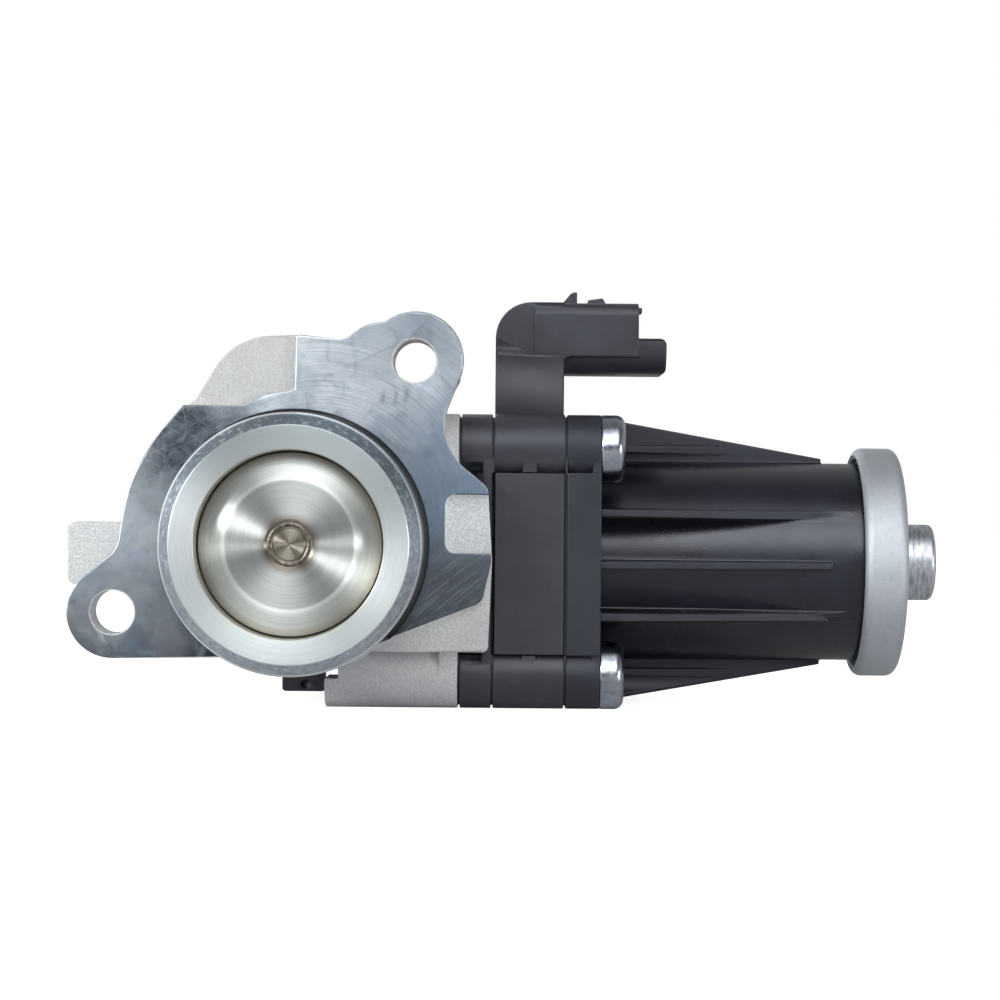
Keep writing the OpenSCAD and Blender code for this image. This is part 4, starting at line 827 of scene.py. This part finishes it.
can_low, can_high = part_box("motor_can")
motor_axis = (can_low + can_high) / 2
dress(machined, "motor_shaft")
dress(copper(), "commutator", "armature_windings")
dress(laminated_steel(), "armature_core")
dress(brush_carbon(), "carbon_brushes")
holder_plastic, *_ = two_tone("holder_plastic", paint(112, 70, 44), 0.0, 0.48, 0.004,
                              paint(98, 58, 36), paint(126, 82, 54), detail=3.0)
dress(holder_plastic, "brush_holder")
can = eased_copy("motor_can", "drawn_motor_can", 0.00025)
can.data.materials.append(can_steel())
fit(can, "housing", "turned_steel", "motor_can")

# Motor housing
# A black moulding: the screwed flange, the barrel round the can and the tapered ribs between them.
# The flange and the ribs' fronts take a paler, less glossy copy of the plastic; its paler colour is
# painted light.
barrel_plastic = moulded_plastic("barrel_plastic", paint(13, 14, 25), 0.3, 0.58)
barrel = black_part("motor_housing", "moulded_motor_housing", barrel_plastic, 0.00025)
barrel.data.materials.append(moulded_plastic("painted_light_rib_plastic", paint(30, 31, 39), 0.5))
barrel_wall = 0.0015
proud_r = (can_high.y - can_low.y) / 2 + barrel_wall + skin
flange_end = max((f for f in barrel.data.polygons if f.normal.x > 0.99), key=lambda f: f.area).center.x
for face in barrel.data.polygons:
    arm = face.center - motor_axis
    proud = math.hypot(arm.y, arm.z) > proud_r and abs(face.normal.y) > 0.8
    face.material_index = int(proud or face.center.x < flange_end + skin)

# End cap and housing screws
# A pressed steel ring in satin zinc holds the motor in its barrel, and four zinc-plated screws
# clamp the layers to the casting.


def satin_zinc():
    """Dull, faintly spotted zinc over turned steel."""
    material, tree, shader, where, _, colour = turned_steel(
        "satin_zinc", motor_axis, x_axis, paint(178, 183, 189), paint(162, 167, 174), 0.6, 0.2, 0.0008)
    spots = mottle(tree, where, 0.0009, detail=4.0, roughness=0.7)
    colour = cover(tree, span(tree, spots, 0.6, 0.72, 0.0, 0.4), colour, paint(140, 146, 156))
    tree.links.new(colour, shader["Base Color"])
    tree.links.new(span(tree, spots, 0.3, 0.7, 0.6, 0.7), shader["Roughness"])
    relief(tree, shader, spots, 0.00003)
    return material


cap = eased_copy("end_cap", "pressed_end_cap", 0.0003)
cap.data.materials.append(satin_zinc())
fit(cap, "housing", "cap_steel", "end_cap")
screws("housing_screws", "housing_pan_screws", 0.0003, x_axis, 5, zinc)

# Studio
# A white floor under a white world, four soft lamps, and the camera that looks along +Y at the
# flange face.


def lamp(name, place, size, power):
    """A square soft lamp that looks at the object."""
    light = bpy.data.lights.new(name, "AREA")
    light.shape, light.size, light.energy = "SQUARE", size, power
    holder = bpy.data.objects.new(name, light)
    bpy.context.scene.collection.objects.link(holder)
    aim = (cad_low + cad_high) / 2 - Vector(place)
    holder.matrix_world = Matrix.Translation(place) @ aim.to_track_quat("-Z", "Y").to_matrix().to_4x4()


def floor_finish():
    """White, and brighter still where the camera sees it, so that only a faint shadow stays."""
    material, tree, _, _ = finish("studio_floor", paint(232, 232, 232), 0.0, 0.9)
    seen = put(tree, "LightPath").outputs["Is Camera Ray"]
    strength = reckon(tree, "MULTIPLY", seen, 0.85)
    glow = put(tree, "Emission", {"Color": (1, 1, 1, 1), "Strength": strength})
    both = put(tree, "AddShader", {0: tree.nodes["Principled BSDF"].outputs[0], 1: glow.outputs[0]})
    tree.links.new(both.outputs[0], tree.nodes["Material Output"].inputs["Surface"])
    return material


floor_size = 6.0
floor_mesh = bpy.data.meshes.new("studio_floor")
floor_mesh.from_pydata([(floor_size / 2 * x, floor_size / 2 * y, cad_low.z)
                        for x, y in ((-1, -1), (1, -1), (1, 1), (-1, 1))], [], [(0, 1, 2, 3)])
floor_mesh.materials.append(floor_finish())
floor = bpy.data.objects.new("studio_floor", floor_mesh)
bpy.context.scene.collection.objects.link(floor)

world = bpy.data.worlds.new("studio")
bpy.context.scene.world = world
world.use_nodes = True
sky = world.node_tree
path = put(sky, "LightPath").outputs
direction = put(sky, "TexCoord").outputs["Generated"]
# Metal mirrors a dim room, which is paler behind the object and at its sides
room, wall, side, shadow_fill = 0.24, 0.5, 0.4, 0.3
parts = put(sky, "SeparateXYZ", {0: direction}).outputs
sides = span(sky, reckon(sky, "ABSOLUTE", parts[0]), 0.8, 1.0, 0.0, side)
mirrored = reckon(sky, "ADD", span(sky, parts[1], 0.0, 0.6, room, wall), sides)
# It also mirrors a panel in front and above, and a faint panel with a bright core on either side;
# each has a direction, the cosines at which it begins and is full, and a strength
above, left, right = (0.05, -0.84, 0.54), (-0.8, -0.53, 0.28), (0.82, -0.53, -0.2)
for centre, begins, full, strength in ((above, 0.93, 0.99, 4.2), (left, 0.88, 0.97, 1.2),
                                       (left, 0.96, 0.99, 3.0), (right, 0.9, 0.97, 0.8),
                                       (right, 0.96, 0.99, 2.6)):
    facing = put(sky, "VectorMath", {0: direction, 1: centre}, operation="DOT_PRODUCT")
    panel = span(sky, facing.outputs["Value"], begins, full, 0.0, strength)
    mirrored = reckon(sky, "ADD", mirrored, panel)
glossy = reckon(sky, "MAXIMUM", path["Is Glossy Ray"], path["Is Transmission Ray"])
level = put(sky, "Mix", {0: glossy, 2: shadow_fill, 3: mirrored}).outputs[0]
level = put(sky, "Mix", {0: path["Is Camera Ray"], 2: level, 3: 1.0}).outputs[0]
sky.links.new(level, sky.nodes["Background"].inputs["Strength"])
sky.nodes["Background"].inputs["Color"].default_value = (1, 1, 1, 1)

lamp("front_lamp", (0.08, -0.5, 0.45), 0.7, 2.0)
lamp("left_lamp", (-0.56, -0.42, 0.2), 0.16, 3.4)
lamp("right_lamp", (0.64, -0.42, 0.0), 0.16, 2.4)
lamp("rear_lamp", (-0.2, 0.6, 0.35), 0.5, 0.9)

# The lens is that of a 36 mm sensor whose frame is 0.2 m wide at the motor's axis
camera_data = bpy.data.cameras.new("camera")
camera_distance, frame_width, sensor_width = 0.55, 0.2, 36
camera_data.lens = sensor_width * camera_distance / frame_width
camera = bpy.data.objects.new("camera", camera_data)
bpy.context.scene.collection.objects.link(camera)
frame_x, frame_z, roll = 0.0387, 0.00855, math.radians(0.5)
camera.matrix_world = (Matrix.Translation((frame_x, motor_axis.y - camera_distance, frame_z))
                       @ Matrix.Rotation(math.radians(90), 4, "X") @ Matrix.Rotation(roll, 4, "Z"))
bpy.context.scene.camera = camera
bpy.context.scene.view_settings.view_transform = "Standard"
